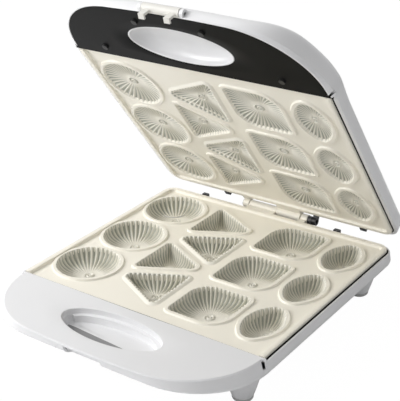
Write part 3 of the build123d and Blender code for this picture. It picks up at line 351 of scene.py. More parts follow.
@dataclass(frozen=True)
class ShellEdge:
    """Right half of a shell's outline at one level.

    The points give how far they lie in from the half width and how far ahead of the plate's front.
    """

    half: float
    rear: float
    bend: float
    shoulder_ahead: float
    side: tuple[float, float]
    corner_end: tuple[float, float]
    corner_start: tuple[float, float]
    front_ahead: float

    BACK_POINTS = 41
    BEND_POINTS = 24
    FLANK_POINTS = 90
    NOSE_POINTS = 48
    CHEEK_POINTS = 40
    JAW_POINTS = 24
    SHOULDER_POINTS = 6

    def point(self, inset_and_ahead: tuple[float, float]) -> np.ndarray:
        """Turn an inset from the half width and a distance ahead into x and y."""
        return np.array([self.half - inset_and_ahead[0], LAYOUT.front - inset_and_ahead[1]])

    def dense(self) -> np.ndarray:
        """Sample the half outline.

        Returns:
            Points from the middle of the back, round the side, to the middle of the front.
        """
        rear = LAYOUT.plate_y + self.rear
        back = np.linspace([0.0, rear], [self.half - self.bend, rear], self.BACK_POINTS)
        corner, _ = tangent_arc(back[-1], 0.0, np.array([self.half, rear - self.bend]), self.BEND_POINTS)
        flank = np.linspace(corner[-1], self.point((0.0, self.shoulder_ahead)), self.FLANK_POINTS)[1:]
        middle = np.array([0.0, LAYOUT.front - self.front_ahead])
        nose, turn = tangent_arc(middle, 0.0, self.point(self.corner_start), self.NOSE_POINTS)
        cheek, turn = tangent_arc(nose[-1], turn, self.point(self.corner_end), self.CHEEK_POINTS)
        jaw, _ = tangent_arc(cheek[-1], turn, self.point(self.side), self.JAW_POINTS)
        front = np.concatenate([middle[None], nose, cheek, jaw])[::-1]
        shoulder = np.linspace(flank[-1], front[0], self.SHOULDER_POINTS)[1:-1]
        return np.concatenate([back, corner, flank, shoulder, front])

    def lengths(self) -> np.ndarray:
        """Give each sample's share of the half's length."""
        run = np.concatenate([[0], np.cumsum(np.hypot(*np.diff(self.dense(), axis=0).T))])
        return run / run[-1]

    def at(self, share: np.ndarray, inset: float = 0.0) -> np.ndarray:
        """Find points by their share of the half's length, from the back at 0 to the front at 1.

        Args:
            share: signed shares, where a negative share lies on the left half.
            inset: distance by which the line is drawn in, along its own normal.

        Returns:
            The points, x and y.
        """
        half = self.dense()
        length = self.lengths()
        tangent = unit(np.gradient(half, length, axis=0))
        tangent[0], tangent[-1] = (1, 0), (-1, 0)
        line = half + np.stack([tangent[:, 1], -tangent[:, 0]], axis=-1) * inset
        size = np.abs(share)
        x = np.interp(size, length, line[:, 0]) * np.where(share < 0, -1, 1)
        return np.stack([x, np.interp(size, length, line[:, 1])], axis=-1)

    def share_at_back(self, x: float) -> float:
        """Find the share at which the back line reaches an x."""
        straight = slice(0, self.BACK_POINTS)
        return float(np.interp(x, self.dense()[straight, 0], self.lengths()[straight]))

    def share_at_front(self, x: float) -> float:
        """Find the share at which the front line reaches an x."""
        nose = slice(-1 - self.NOSE_POINTS - self.CHEEK_POINTS, None)
        return float(np.interp(-x, -self.dense()[nose, 0], self.lengths()[nose]))

    def share_at_y(self, y: float) -> float:
        """Find the share at which the flank reaches a y."""
        return float(np.interp(-y, -self.dense()[:, 1], self.lengths()))


LIP_HALF = LAYOUT.plate_width / 2 + 3.7
SHELL_HALF = LAYOUT.plate_width / 2 + 6.1
REAR = LAYOUT.plate_depth / 2 + LAYOUT.rear_overhang
HANDLE_EDGE = ShellEdge(LIP_HALF, REAR, 14.5, 0.7, (4.1, 3.7), (18.6, 43.7), (76.6, 74.0), 75.7)
BASE_WAIST = ShellEdge(SHELL_HALF, REAR, 16.0, -1.3, (0.0, 2.7), (16.4, 46.0), (70.0, 70.8), 71.0)
BASE_KEEL = ShellEdge(SHELL_HALF - 29.0, REAR - 13.5, 20.0, -24.3, (0.5, -20.3), (7.0, -10.3), (22.0, -4.3),
                      -3.8)
LID_WAIST = ShellEdge(SHELL_HALF, REAR, 16.0, -1.3, (0.0, 2.7), (18.0, 46.0), (72.0, 75.5), 77.0)


@dataclass(frozen=True)
class EdgeSteps:
    """Levels of a shell's top edge round its outline, which steps at the slit, the hinge and the elbow."""

    notch: float
    elbow: float
    rear: float
    side: float
    handle: float
    slot: float
    front: float
    notch_left: float = 44.0
    notch_right: float = 35.9
    elbow_right: float = 47.0
    rear_half: float = 117.0
    front_half: float = 20.0
    slot_ahead: float = 2.4
    slot_width: float = 2.1
    spacing: float = 0.006
    step: float = 1e-5

    def half(self, marks: list[tuple[float, float]]) -> tuple[np.ndarray, np.ndarray]:
        """Space the columns of one half between its marks.

        Args:
            marks: pairs of a share and the level that starts there, in order.

        Returns:
            The shares and their levels, with two columns close together at each step.
        """
        shares = [np.array([0.0])]
        levels = [np.array([marks[0][1]])]
        ends = [share for share, _ in marks[1:]] + [1.0]
        for (start, level), end in zip(marks, ends):
            stop = end - self.step if end < 1.0 else end
            count = max(1, int(np.ceil((stop - start) / self.spacing)))
            run = np.linspace(start, stop, count + 1)[0 if start > 0 else 1:]
            shares.append(run)
            levels.append(np.full(len(run), level))
        return np.concatenate(shares), np.concatenate(levels)

    def columns(self) -> tuple[np.ndarray, np.ndarray]:
        """Choose the columns round the whole outline.

        Returns:
            Signed shares of the half outline, and the top edge's level at each.
        """
        edge = HANDLE_EDGE
        common = [(edge.share_at_back(self.rear_half), self.side),
                  (edge.share_at_y(LAYOUT.front - LAYOUT.slit_start), self.handle),
                  (edge.share_at_y(LAYOUT.front - self.slot_ahead), self.slot),
                  (edge.share_at_y(LAYOUT.front - self.slot_ahead - self.slot_width), self.handle),
                  (edge.share_at_front(self.front_half), self.front)]
        right = [(0.0, self.notch), (edge.share_at_back(self.notch_right), self.elbow),
                 (edge.share_at_back(self.elbow_right), self.rear), *common]
        left = [(0.0, self.notch), (edge.share_at_back(self.notch_left), self.rear), *common]
        right_share, right_level = self.half(right)
        left_share, left_level = self.half(left)
        share = np.concatenate([right_share, -left_share[-2:0:-1]])
        return share, np.concatenate([right_level, left_level[-2:0:-1]])


# Finishes


def new_group(name: str, inputs: dict[str, float], outputs: dict[str, str]) -> bpy.types.NodeTree:
    """Start a shader node group with named sockets.

    Args:
        name: the group's name.
        inputs: default values of its float inputs.
        outputs: socket types of its outputs, by name.

    Returns:
        The group, with its input and output nodes in place.
    """
    group = bpy.data.node_groups.new(name, "ShaderNodeTree")
    for title, value in inputs.items():
        socket = group.interface.new_socket(title, in_out="INPUT", socket_type="NodeSocketFloat")
        socket.default_value = value
    for title, kind in outputs.items():
        group.interface.new_socket(title, in_out="OUTPUT", socket_type=kind)
    group.nodes.new("NodeGroupInput")
    group.nodes.new("NodeGroupOutput")
    return group


def grain_group() -> bpy.types.NodeTree:
    """Build the fine grain of moulded or sprayed surfaces.

    Returns:
        A group that puts out a height from fine noise, and a slow mottle between 0 and 1.
    """
    group = new_group("surface_grain", {"Scale": 900.0, "Mottle Scale": 14.0},
                      {"Height": "NodeSocketFloat", "Mottle": "NodeSocketFloat"})
    nodes, links = group.nodes, group.links
    source, sink = nodes["Group Input"], nodes["Group Output"]
    place = nodes.new("ShaderNodeTexCoord")
    for scale, detail, target in (("Scale", 3.0, "Height"), ("Mottle Scale", 2.0, "Mottle")):
        noise = nodes.new("ShaderNodeTexNoise")
        noise.inputs["Detail"].default_value = detail
        links.new(place.outputs["Object"], noise.inputs["Vector"])
        links.new(source.outputs[scale], noise.inputs["Scale"])
        links.new(noise.outputs["Fac"], sink.inputs[target])
    return group


@dataclass(frozen=True)
class Finish:
    """A surface finish: two near colours mixed by a slow mottle, with grain in its height.

    Where a groove colour is given, it is painted shade, darkening the colour as far as the piece's shade
    values ask for.
    """

    name: str
    colour: tuple[float, float, float]
    shade: tuple[float, float, float]
    roughness: float = 0.4
    roughness_spread: float = 0.08
    metallic: float = 0.0
    coat: float = 0.0
    specular: float = 0.5
    grain_scale: float = 900.0
    mottle_scale: float = 14.0
    bump: float = 0.05
    bump_depth: float = 0.0001
    transmission: float = 0.0
    # groove: a darker colour painted into the moulds' grooves as shade
    groove: tuple[float, float, float] | None = None

    def material(self, grain: bpy.types.NodeTree) -> bpy.types.Material:
        """Make the finish's material.

        Args:
            grain: the shared grain group.

        Returns:
            A material whose colour, roughness and normal vary with the grain group's outputs.
        """
        made = bpy.data.materials.new(self.name)
        made.use_nodes = True
        nodes, links = made.node_tree.nodes, made.node_tree.links
        shader = nodes["Principled BSDF"]
        texture = nodes.new("ShaderNodeGroup")
        texture.node_tree = grain
        texture.inputs["Scale"].default_value = self.grain_scale
        texture.inputs["Mottle Scale"].default_value = self.mottle_scale
        mix = nodes.new("ShaderNodeMix")
        mix.data_type = "RGBA"
        mix.inputs["A"].default_value = (*self.colour, 1.0)
        mix.inputs["B"].default_value = (*self.shade, 1.0)
        links.new(texture.outputs["Mottle"], mix.inputs["Factor"])
        colour = mix.outputs["Result"]
        if self.groove is not None:
            colour = self.painted_groove_shade(nodes, links, colour)
        links.new(colour, shader.inputs["Base Color"])
        spread = nodes.new("ShaderNodeMapRange")
        spread.inputs["To Min"].default_value = self.roughness - self.roughness_spread
        spread.inputs["To Max"].default_value = self.roughness + self.roughness_spread
        links.new(texture.outputs["Mottle"], spread.inputs["Value"])
        links.new(spread.outputs["Result"], shader.inputs["Roughness"])
        bump = nodes.new("ShaderNodeBump")
        bump.inputs["Strength"].default_value = self.bump
        bump.inputs["Distance"].default_value = self.bump_depth
        links.new(texture.outputs["Height"], bump.inputs["Height"])
        links.new(bump.outputs["Normal"], shader.inputs["Normal"])
        shader.inputs["Metallic"].default_value = self.metallic
        shader.inputs["Coat Weight"].default_value = self.coat
        shader.inputs["Specular IOR Level"].default_value = self.specular
        shader.inputs["Transmission Weight"].default_value = self.transmission
        return made

    def painted_groove_shade(self, nodes: bpy.types.Nodes, links: bpy.types.NodeLinks,
                colour: bpy.types.NodeSocket) -> bpy.types.NodeSocket:
        """Mix the painted groove shade in by the first shade value.

        Args:
            nodes: the material's nodes.
            links: the material's links.
            colour: the colour outside the grooves.

        Returns:
            The mixed colour.
        """
        place = nodes.new("ShaderNodeTexCoord")
        parts = nodes.new("ShaderNodeSeparateXYZ")
        links.new(place.outputs["UV"], parts.inputs["Vector"])
        painted_shade_mix = nodes.new("ShaderNodeMix")
        painted_shade_mix.data_type = "RGBA"
        painted_shade_mix.inputs["B"].default_value = (*self.groove, 1.0)
        links.new(parts.outputs["X"], painted_shade_mix.inputs["Factor"])
        links.new(colour, painted_shade_mix.inputs["A"])
        return painted_shade_mix.outputs["Result"]


class Finishes:
    """All the finishes of the cooker, made once."""

    def __init__(self) -> None:
        """Make the shared grain group and every material."""
        grain = grain_group()
        self.cream = Finish("cream_ceramic_coating", (0.90, 0.865, 0.765), (0.87, 0.83, 0.73), 0.42, 0.05,
                            coat=0.1, grain_scale=1400.0, bump=0.12).material(grain)
        # The moulds' groove colour is painted shade in the flutes and in the rosette's furrow.
        self.mould = Finish("cream_coating_with_painted_groove_shade", (0.86, 0.83, 0.74), (0.83, 0.80, 0.71), 0.42, 0.05,
                            coat=0.1, grain_scale=1400.0, bump=0.1, groove=(0.34, 0.35, 0.29)).material(grain)
        self.white = Finish("white_moulded_shell", (0.80, 0.80, 0.81), (0.78, 0.78, 0.79), 0.3, 0.05,
                            coat=0.2, grain_scale=700.0, bump=0.04).material(grain)
        self.panel = Finish("pale_satin_panel", (0.78, 0.78, 0.79), (0.76, 0.76, 0.77), 0.38, 0.05,
                            grain_scale=1100.0, bump=0.08).material(grain)
        self.charcoal = Finish("charcoal_satin_panel", (0.008, 0.008, 0.008), (0.006, 0.006, 0.006), 0.3,
                               0.05, specular=0.045, grain_scale=1100.0, bump=0.12).material(grain)
        self.black = Finish("black_plastic", (0.012, 0.012, 0.012), (0.008, 0.008, 0.008), 0.45, 0.06,
                            bump=0.1).material(grain)
        # Black painted shadow, laid on the shells' inner walls, the plates' rim sides under the lip and the
        # lid's latch bay.
        self.shadow = Finish("black_painted_shadow", (0.006, 0.006, 0.006), (0.004, 0.004, 0.004), 0.8, 0.05,
                             bump=0.05).material(grain)
        # Dark grey of the lead elbow, also laid as painted shade along the base panel's rear edge.
        self.elbow = Finish("dark_grey_elbow", (0.045, 0.045, 0.048), (0.035, 0.035, 0.038), 0.5, 0.06,
                            bump=0.1).material(grain)
        # Grey painted shade for the slot in the base's finger dish.
        self.recess = Finish("grey_painted_slot_shade", (0.27, 0.27, 0.275), (0.23, 0.23, 0.235), 0.5, 0.06,
                             bump=0.06).material(grain)
        self.latch = Finish("pale_latch_plastic", (0.76, 0.745, 0.70), (0.73, 0.715, 0.67), 0.4, 0.05,
                            bump=0.06).material(grain)
        self.rubber = Finish("pale_rubber", (0.55, 0.55, 0.54), (0.50, 0.50, 0.49), 0.7, 0.06,
                             grain_scale=500.0, bump=0.2).material(grain)
        self.steel = Finish("bright_steel", (0.60, 0.60, 0.60), (0.52, 0.52, 0.52), 0.3, 0.08, metallic=1.0,
                            bump=0.06).material(grain)
        self.sheath = Finish("darkened_sheath", (0.13, 0.12, 0.115), (0.08, 0.075, 0.07), 0.5, 0.1,
                             metallic=1.0, bump=0.15).material(grain)
        self.ceramic = Finish("pale_ceramic_body", (0.72, 0.70, 0.64), (0.66, 0.64, 0.58), 0.6, 0.05,
                              bump=0.1).material(grain)
        self.red = Finish("red_lens", (0.65, 0.03, 0.02), (0.55, 0.02, 0.015), 0.12, 0.03,
                          transmission=0.6).material(grain)
        self.green = Finish("green_lens", (0.03, 0.45, 0.08), (0.02, 0.38, 0.06), 0.12, 0.03,
                            transmission=0.6).material(grain)


# Moulds


@dataclass
class MouldLiner:
    """The fluted surface of one mould: its rounded lip, its bowl and the rosette in its middle."""

    kind: Mould
    x: float
    y: float
    side: Side
    samples: int = 6

    round_radius: float = 31.0
    triangle_base: float = 61.0
    triangle_height: float = 60.0
    tip_radius: float = 6.0
    foot_radius: float = 4.0
    leaf_width: float = 56.0
    leaf_depth: float = 57.0
    leaf_sharp: float = 6.0
    leaf_round: float = 22.0
    oval_width: float = 35.0
    oval_depth: float = 56.0
    oval_end: float = 10.0
    rosette_radius: float = 6.2
    rosette_pitch: float = 3.1

    @property
    def bowl_depth(self) -> float:
        """Depth of the bowl's middle under the lip's inner edge."""
        return 14.2 if self.side is Side.BASE else 3.9

    @property
    def bowl_power(self) -> float:
        """Fullness of the bowl: the higher, the steeper its wall and the flatter its floor."""
        return 3.8 if self.side is Side.BASE else 2.4

    @property
    def flute_end(self) -> float:
        """Share of the way out at which the flutes have died away."""
        return 0.3 if self.side is Side.BASE else 0.14

    @property
    def flute_depth(self) -> float:
        """Height of the ridges between the flutes, at the top of the wall."""
        return 2.0 if self.side is Side.BASE else 1.25

    def corners(self) -> tuple[list, list]:
        """List a straight-sided mould's corners.

        Returns:
            The corner points, anticlockwise, and their radii.
        """
        if self.kind is Mould.LEAF:
            w, d = self.leaf_width / 2, self.leaf_depth / 2
            points = [(-w, -d), (w, -d), (w, d), (-w, d)]
            return points, [self.leaf_sharp, self.leaf_round, self.leaf_sharp, self.leaf_round]
        third = self.triangle_height / 3
        half = self.triangle_base / 2
        if self.kind is Mould.TRIANGLE_RIGHT:
            points = [(-third, -half), (2 * third, 0.0), (-third, half)]
        else:
            points = [(third, half), (-2 * third, 0.0), (third, -half)]
        return points, [self.foot_radius, self.tip_radius, self.foot_radius]

    def outline(self) -> np.ndarray:
        """Sample the mould's outline, anticlockwise about its middle.

        Returns:
            The points of a circle, of an oval of four tangent arcs, or of a polygon with rounded corners.
        """
        if self.kind is Mould.ROUND:
            turn = np.linspace(0, 2 * np.pi, 720, endpoint=False)
            return self.round_radius * np.stack([np.cos(turn), np.sin(turn)], axis=-1)
        if self.kind is Mould.OVAL:
            half_x, half_y, end = self.oval_width / 2, self.oval_depth / 2, self.oval_end
            big = (half_x**2 + (half_y - end)**2 - end**2) / (2 * (half_x - end))
            meet = np.arctan2(half_y - end, big - half_x)
            side_turn = np.linspace(-meet, meet, 200, endpoint=False)
            right = np.stack([half_x - big + big * np.cos(side_turn), big * np.sin(side_turn)], axis=-1)
            end_turn = np.linspace(meet, np.pi - meet, 120, endpoint=False)
            top = np.stack([end * np.cos(end_turn), half_y - end + end * np.sin(end_turn)], axis=-1)
            return np.concatenate([right, top, -right, -top])
        points, radii = self.corners()
        return np.concatenate([self.rounded(np.array(points), number, radius)
                               for number, radius in enumerate(radii)])

    def rounded(self, points: np.ndarray, number: int, radius: float) -> np.ndarray:
        """Round one corner of a polygon.

        Args:
            points: the polygon's corners, anticlockwise.
            number: which corner.
            radius: its radius.

        Returns:
            Points of the arc that touches both sides, whose centre lies on the corner's bisector.
        """
        here = points[number]
        before = points[number - 1] - here
        after = points[(number + 1) % len(points)] - here
        before = before / np.hypot(*before)
        after = after / np.hypot(*after)
        half_angle = np.arccos(before @ after) / 2
        bisector = (before + after) / np.hypot(*(before + after))
        centre = here + bisector * radius / np.sin(half_angle)
        touch = here + before * radius / np.tan(half_angle) - centre
        turn = np.arctan2(touch[1], touch[0]) + np.linspace(0, np.pi - 2 * half_angle, 60)
        return centre + radius * np.stack([np.cos(turn), np.sin(turn)], axis=-1)

    def columns(self) -> tuple[np.ndarray, np.ndarray, np.ndarray]:
        """Place the columns of the grid evenly round the outline.

        Returns:
            The points, their outward normals, and the ridge's height at each: one less the absolute
            cosine of the phase, so that each groove is round and each ridge between two is sharp.
        """
        dense = self.outline()
        closed = np.vstack([dense, dense[:1]])
        length = np.concatenate([[0], np.cumsum(np.hypot(*np.diff(closed, axis=0).T))])
        flutes = self.kind.value
        count = flutes * self.samples
        share = np.arange(count) / count
        points = np.stack([np.interp(share * length[-1], length, closed[:, axis]) for axis in (0, 1)],
                          axis=-1)
        tangent = unit(np.roll(points, -1, axis=0) - np.roll(points, 1, axis=0))
        normal = np.stack([tangent[:, 1], -tangent[:, 0]], axis=-1)
        return points, normal, 1 - np.abs(np.cos(np.pi * share * flutes))

    def profile(self) -> np.ndarray:
        """List the liner's rings: inset, height over the face, flute depth and share kept from the middle.

        Returns:
            One row per ring, over the rounded lip and down the bowl, whose depth at a share k of the
            way out is the bowl's depth times the square root of 1 - k to the bowl's power.
        """
        lip = np.array([(-4.4, -0.05, 0, 1), (-3.7, 0.2, 0, 1), (-3.0, 0.62, 0, 1), (-2.3, 1.05, 0, 1),
                        (-1.6, 1.34, 0, 1), (-1.0, 1.42, 0.1, 1), (-0.45, 1.3, 0.4, 1), (0.0, 0.95, 0.75, 1)])
        keep = np.array([0.99, 0.97, 0.94, 0.9, 0.85, 0.79, 0.72, 0.64, 0.56, 0.48, 0.4, 0.32, 0.25, 0.18])
        bowl = self.bowl_depth * np.sqrt(1 - keep**self.bowl_power)
        inset = np.full(len(keep), 0.25)
        rows = np.stack([inset, 0.6 - bowl, keep**0.6, keep], axis=-1)
        return np.concatenate([lip, rows])

    def patches(self) -> list[Patch]:
        """Work out the liner and its rosette.

        Returns:
            The ring grid, whose ridges stand out along the bowl's own normal and whose grooves carry painted
            shade, and a cap in its middle.
        """
        points, normal, ridge = self.columns()
        inset, height, depth, keep = self.profile().T[:, :, None]
        run = np.gradient((self.round_radius * keep - inset)[:, 0])[:, None]
        fall = np.gradient(height[:, 0])[:, None]
        steep = np.hypot(run, fall)
        lift = self.flute_depth * depth * ridge[None, :] * np.clip((keep - self.flute_end) / 0.3, 0, 1)
        inward = inset - lift * fall / steep
        flat = points[None] * keep[..., None] - normal[None] * inward[..., None]
        z = LAYOUT.face + height - lift * run / steep
        z = z + self.rosette(np.hypot(flat[..., 0], flat[..., 1]), np.arctan2(flat[..., 1], flat[..., 0]))
        grid = np.concatenate([flat + [self.x, self.y], z[..., None]], axis=-1)
        # painted shade: how much of the groove colour darkens each flute's groove
        groove = np.clip(1.1 - 1.7 * ridge[None, :], 0, 1) * np.clip(depth * 1.1, 0, 1)
        groove = groove * np.clip((keep - self.flute_end) / 0.4, 0, 1)
        shade = np.stack([groove, np.broadcast_to(keep, groove.shape)], axis=-1)
        return [Patch.grid(grid, shade=shade), *self.middle(grid[-1])]

    def rosette(self, radius: np.ndarray, turn: np.ndarray) -> np.ndarray:
        """Give the height of the small swirl in the middle of the floor.

        Args:
            radius: distances from the mould's middle.
            turn: directions from it.

        Returns:
            A one-armed spiral wave that fades out at the rosette's radius.
        """
        top = 1.5 if self.side is Side.BASE else 1.9
        fade = np.clip(1 - (radius / self.rosette_radius)**6, 0, 1)
        return top * fade * self.swirl(radius, turn) * np.clip(radius / 0.8, 0.3, 1)

    def swirl(self, radius: np.ndarray, turn: np.ndarray) -> np.ndarray:
        """Give the spiral wave itself, between 0 in its furrow and 1 on its crest."""
        return 0.5 + 0.5 * np.cos(turn - 2 * np.pi * radius / self.rosette_pitch)

    def middle(self, around: np.ndarray) -> list[Patch]:
        """Carry the floor on from the last ring to the middle.

        Args:
            around: the points of the last ring.

        Returns:
            Rings that shrink to the middle with the rosette's height and painted shade in its furrow, and a
            cap.
        """
        centre = np.array([self.x, self.y])
        level = LAYOUT.face + 0.6 - self.bowl_depth
        rings = [around]
        for share in (0.9, 0.8, 0.7, 0.6, 0.5, 0.4, 0.3, 0.2, 0.1):
            flat = centre + (around[:, :2] - centre) * share
            delta = flat - centre
            height = self.rosette(np.hypot(*delta.T), np.arctan2(delta[:, 1], delta[:, 0]))
            rings.append(ring(flat, level + height))
        grid = np.stack(rings)
        delta = grid[..., :2] - centre
        radius = np.hypot(delta[..., 0], delta[..., 1])
        # painted shade in the rosette's furrow, read by the groove colour
        furrow = 1 - self.swirl(radius, np.arctan2(delta[..., 1], delta[..., 0]))
        strength = 0.4 if self.side is Side.BASE else 0.75
        furrow = strength * furrow * np.clip((self.rosette_radius - radius) / 1.5, 0, 1)
        shade = np.stack([furrow, np.zeros_like(furrow)], axis=-1)
        return [Patch.grid(grid, shade=shade), Patch.cap(grid[-1])]


@dataclass
class CookingPlate:
    """One cooking plate's dressing: its liners and the rounded cover of its rim."""

    side: Side
    finishes: Finishes
    round_x: float = -95.2
    triangle_x: float = -25.6
    leaf_x: float = 46.6
    oval_x: float = 102.8
    row_pitch: float = 70.0
    row_shift: float = 1.7
    triangle_pitch: float = 45.0
    triangle_spread: float = 59.4

    def moulds(self) -> list[MouldLiner]:
        """List the plate's moulds.

        Returns:
            Three rows of a round, a leaf and an oval mould, and the column of four triangles.
        """
        middle = LAYOUT.plate_y + self.row_shift
        kinds = ((Mould.ROUND, self.round_x), (Mould.LEAF, self.leaf_x), (Mould.OVAL, self.oval_x))
        made = [MouldLiner(kind, x, middle + step * self.row_pitch, self.side)
                for step in (-1, 0, 1) for kind, x in kinds]
        shift = self.triangle_spread / 2 - MouldLiner.triangle_height / 3
        for number, step in enumerate((-1.5, -0.5, 0.5, 1.5)):
            kind, way = (Mould.TRIANGLE_RIGHT, -1) if number % 2 else (Mould.TRIANGLE_LEFT, 1)
            y = middle + step * self.triangle_pitch
            made.append(MouldLiner(kind, self.triangle_x + way * shift, y, self.side))
        return made

    def rim_path(self) -> tuple[np.ndarray, np.ndarray]:
        """Follow the plate's edge from its front left corner round the back to the front right.

        Returns:
            The points and their outward normals.
        """
        half, corner = LAYOUT.plate_width / 2, LAYOUT.rear_corner
        turn = np.linspace(0, np.pi / 2, 14)
        left_normal = np.stack([-np.cos(turn), np.sin(turn)], axis=-1)
        left = left_normal * corner + [-half + corner, LAYOUT.rear - corner]
        right, right_normal = (left * [-1, 1])[::-1], (left_normal * [-1, 1])[::-1]
        points = np.concatenate([[[-half, LAYOUT.front]], left, right, [[half, LAYOUT.front]]])
        normals = np.concatenate([[[-1, 0]], left_normal, right_normal, [[1, 0]]])
        return points, normals

    def rim_patches(self) -> list[Patch]:
        """Carry the rim's rounded section along the plate's edge.

        Returns:
            The swept skin, whose lowest band is painted black as the shadow under the lip, and a cap at
            either front end.
        """
        points, normals = self.rim_path()
        width, height = LAYOUT.rim_width, LAYOUT.rim_height
        section = np.array([
            (0.06, -2.9), (0.06, 0.05), (0.32, 0.15), (0.36, height - 0.9), (0.1, height - 0.35),
            (-0.45, height), (-0.95, height + 0.12), (-width + 0.9, height + 0.12),
            (-width + 0.35, height - 0.02), (-width - 0.02, height - 0.4), (-width - 0.2, height - 1.0),
            (-width - 0.4, 0.9), (-width - 0.8, 0.3), (-width - 1.6, 0.04)])
        grid = np.zeros((len(section), len(points), 3))
        grid[..., :2] = points[None] + normals[None] * section[:, :1, None]
        grid[..., 2] = LAYOUT.face + section[:, 1:2]
        # the band under the lip is painted black as shadow
        return [Patch.grid(grid[:2], wrap=False, flip=True, material=1),
                Patch.grid(grid[1:], wrap=False, flip=True),
                Patch.cap(grid[:, 0], flip=True), Patch.cap(grid[:, -1])]

    def make(self) -> None:
        """Build the plate's liners and rim."""
        node = "lower_plate" if self.side is Side.BASE else "upper_plate"
        liners = [patch for mould in self.moulds() for patch in mould.patches()]
        pieces = (build(f"{node}_mould_liners", liners, self.side, [self.finishes.mould], True, 70),
                  build(f"{node}_rim_cover", self.rim_patches(), self.side,
                        [self.finishes.cream, self.finishes.shadow], True, 50))


# Shells


@dataclass
class BaseShell:
    """The white tray of the base, with its slit, catch, keel and conical legs."""

    finishes: Finishes
    steps: EdgeSteps = field(default_factory=lambda: EdgeSteps(notch=40.4, elbow=36.8, rear=43.0, side=45.5,
                                                               handle=46.6, slot=39.5, front=46.6))
    top: float = 47.0
    waist: float = 35.0
    keel: float = 9.0
    soft: float = 3.2
    wall: float = 2.4
    lip_wall: float = 1.7
    inner_depth: float = 12.0
    cover_width: float = 162.6
    cover_depth: float = 142.6
    cover_from_plate: float = -3.55
    recess: float = 1.6
    foot_x: float = 112.3
    front_foot_behind: float = 75.0
    rear_foot_ahead: float = 25.0
    catch_depth: float = 12.0
    catch_top: float = 43.8
    gland_x: float = -88.0
    gland_z: float = 23.0

    def outer(self, share: np.ndarray, level: np.ndarray) -> np.ndarray:
        """Find the outer surface's points at a level for each column.

        Args:
            share: signed shares of the half outline.
            level: the level at each, between the keel and the top.

        Returns:
            The x and y, on straight lines from the handle's edge to the waist and on to the keel.
        """
        upper = HANDLE_EDGE.at(share)
        middle = BASE_WAIST.at(share)
        lower = BASE_KEEL.at(share)
        high = np.clip((self.top - level) / (self.top - self.waist), 0, 1)[:, None]
        low = np.clip((self.waist - level) / (self.waist - self.keel), 0, 1)[:, None]
        return np.where(level[:, None] >= self.waist, upper + (middle - upper) * high,
                        middle + (lower - middle) * low)

    def rim_rings(self, share: np.ndarray, top: np.ndarray) -> list[np.ndarray]:
        """Work out the rings up the inner wall and over the rounded edge.

        Args:
            share: signed shares of the half outline.
            top: the edge's level at each.

        Returns:
            The rings, from the inner wall's foot to the outer side of the edge.
        """
        beside_plate = np.abs(share) < HANDLE_EDGE.share_at_y(LAYOUT.front - LAYOUT.slit_start)
        wall = np.where(beside_plate, self.lip_wall, self.wall)[:, None]
        inward = HANDLE_EDGE.at(share, 1.0) - HANDLE_EDGE.at(share)
        edge = self.outer(share, top)
        over_catch = np.abs(share) >= HANDLE_EDGE.share_at_front(self.steps.front_half)
        low = top - np.where(over_catch, 2.6, self.inner_depth)
        rings = [ring(self.outer(share, low) + inward * wall, low)]
        rings += [ring(edge + inward * (wall - give), top - drop)
                  for give, drop in ((0.0, 2.4), (0.0, 0.35), (0.12, 0.1), (0.4, 0.0))]
        rings += [ring(edge + inward * give, top - drop)
                  for give, drop in ((0.55, 0.0), (0.2, 0.12), (0.02, 0.45))]
        return rings

    def side_rings(self, share: np.ndarray, top: np.ndarray) -> list[np.ndarray]:
        """Work out the rings down the side, round the waist and the keel, by quadratic Bezier bends.

        Args:
            share: signed shares of the half outline.
            top: the edge's level at each.

        Returns:
            The rings, from just under the edge to the keel's inner side.
        """
        first, last = self.waist + self.soft, self.waist - self.soft
        rings = []
        levels = (46.0, 45.0, self.catch_top + 0.03, self.catch_top - 0.03, 42.0, 40.0, first)
        for number, height in enumerate(levels):
            level = np.minimum(height, top - 0.47 - 0.01 * number)
            rings.append(ring(self.outer(share, level), level))
        start = self.outer(share, np.full(len(share), first))
        end = self.outer(share, np.full(len(share), last))
        for part in np.linspace(0, 1, 9)[1:]:
            level = np.minimum(bend(first, self.waist, last, part), top - 0.6 - part)
            rings.append(ring(bend(start, BASE_WAIST.at(share), end, part), level))
        low = self.keel + 4.0
        for part in np.linspace(0, 1, 8)[1:]:
            level = last + (low - last) * part
            rings.append(ring(self.outer(share, np.full(len(share), level)), level))
        start = self.outer(share, np.full(len(share), low))
        end = BASE_KEEL.at(share, 6.0)
        for part in np.linspace(0, 1, 7)[1:]:
            level = bend(low, self.keel, self.keel, part)
            rings.append(ring(bend(start, BASE_KEEL.at(share), end, part), level))
        return rings

    def skin(self) -> list[Patch]:
        """Work out the tray, with the latch's catch pressed in under its lip.

        Returns:
            The inner wall, painted black as the shadow in the slit, and the skin over the edge, down to the
            keel and in to the cover.
        """
        share, top = self.steps.columns()
        inside = np.abs(share) >= HANDLE_EDGE.share_at_front(self.steps.front_half)
        lip, *side = self.side_rings(share, top)
        side = pressed(side, inside, self.catch_top, LAYOUT.shell_front + self.catch_depth)
        rings = [*self.rim_rings(share, top), lip, *side]
        window = self.cover_window(rings[-1][:, :2])
        rings += [ring(window, self.keel), ring(window, self.keel + self.recess)]
        grid = np.stack(rings)
        # the inner wall is painted black as the shadow in the slit
        return [Patch.grid(grid[:3], material=1), Patch.grid(grid[2:])]

    def cover_window(self, around: np.ndarray) -> np.ndarray:
        """Find the rectangle of the bottom cover.

        Args:
            around: the x and y of a loop of points about it.

        Returns:
            The point of the rectangle in the direction of each.
        """
        middle = [0.0, LAYOUT.plate_y + self.cover_from_plate]
        delta = around - middle
        half = np.array([self.cover_width / 2, self.cover_depth / 2])
        reach = np.min(half / np.maximum(np.abs(delta), 1e-9), axis=1)
        return delta * reach[:, None] + middle

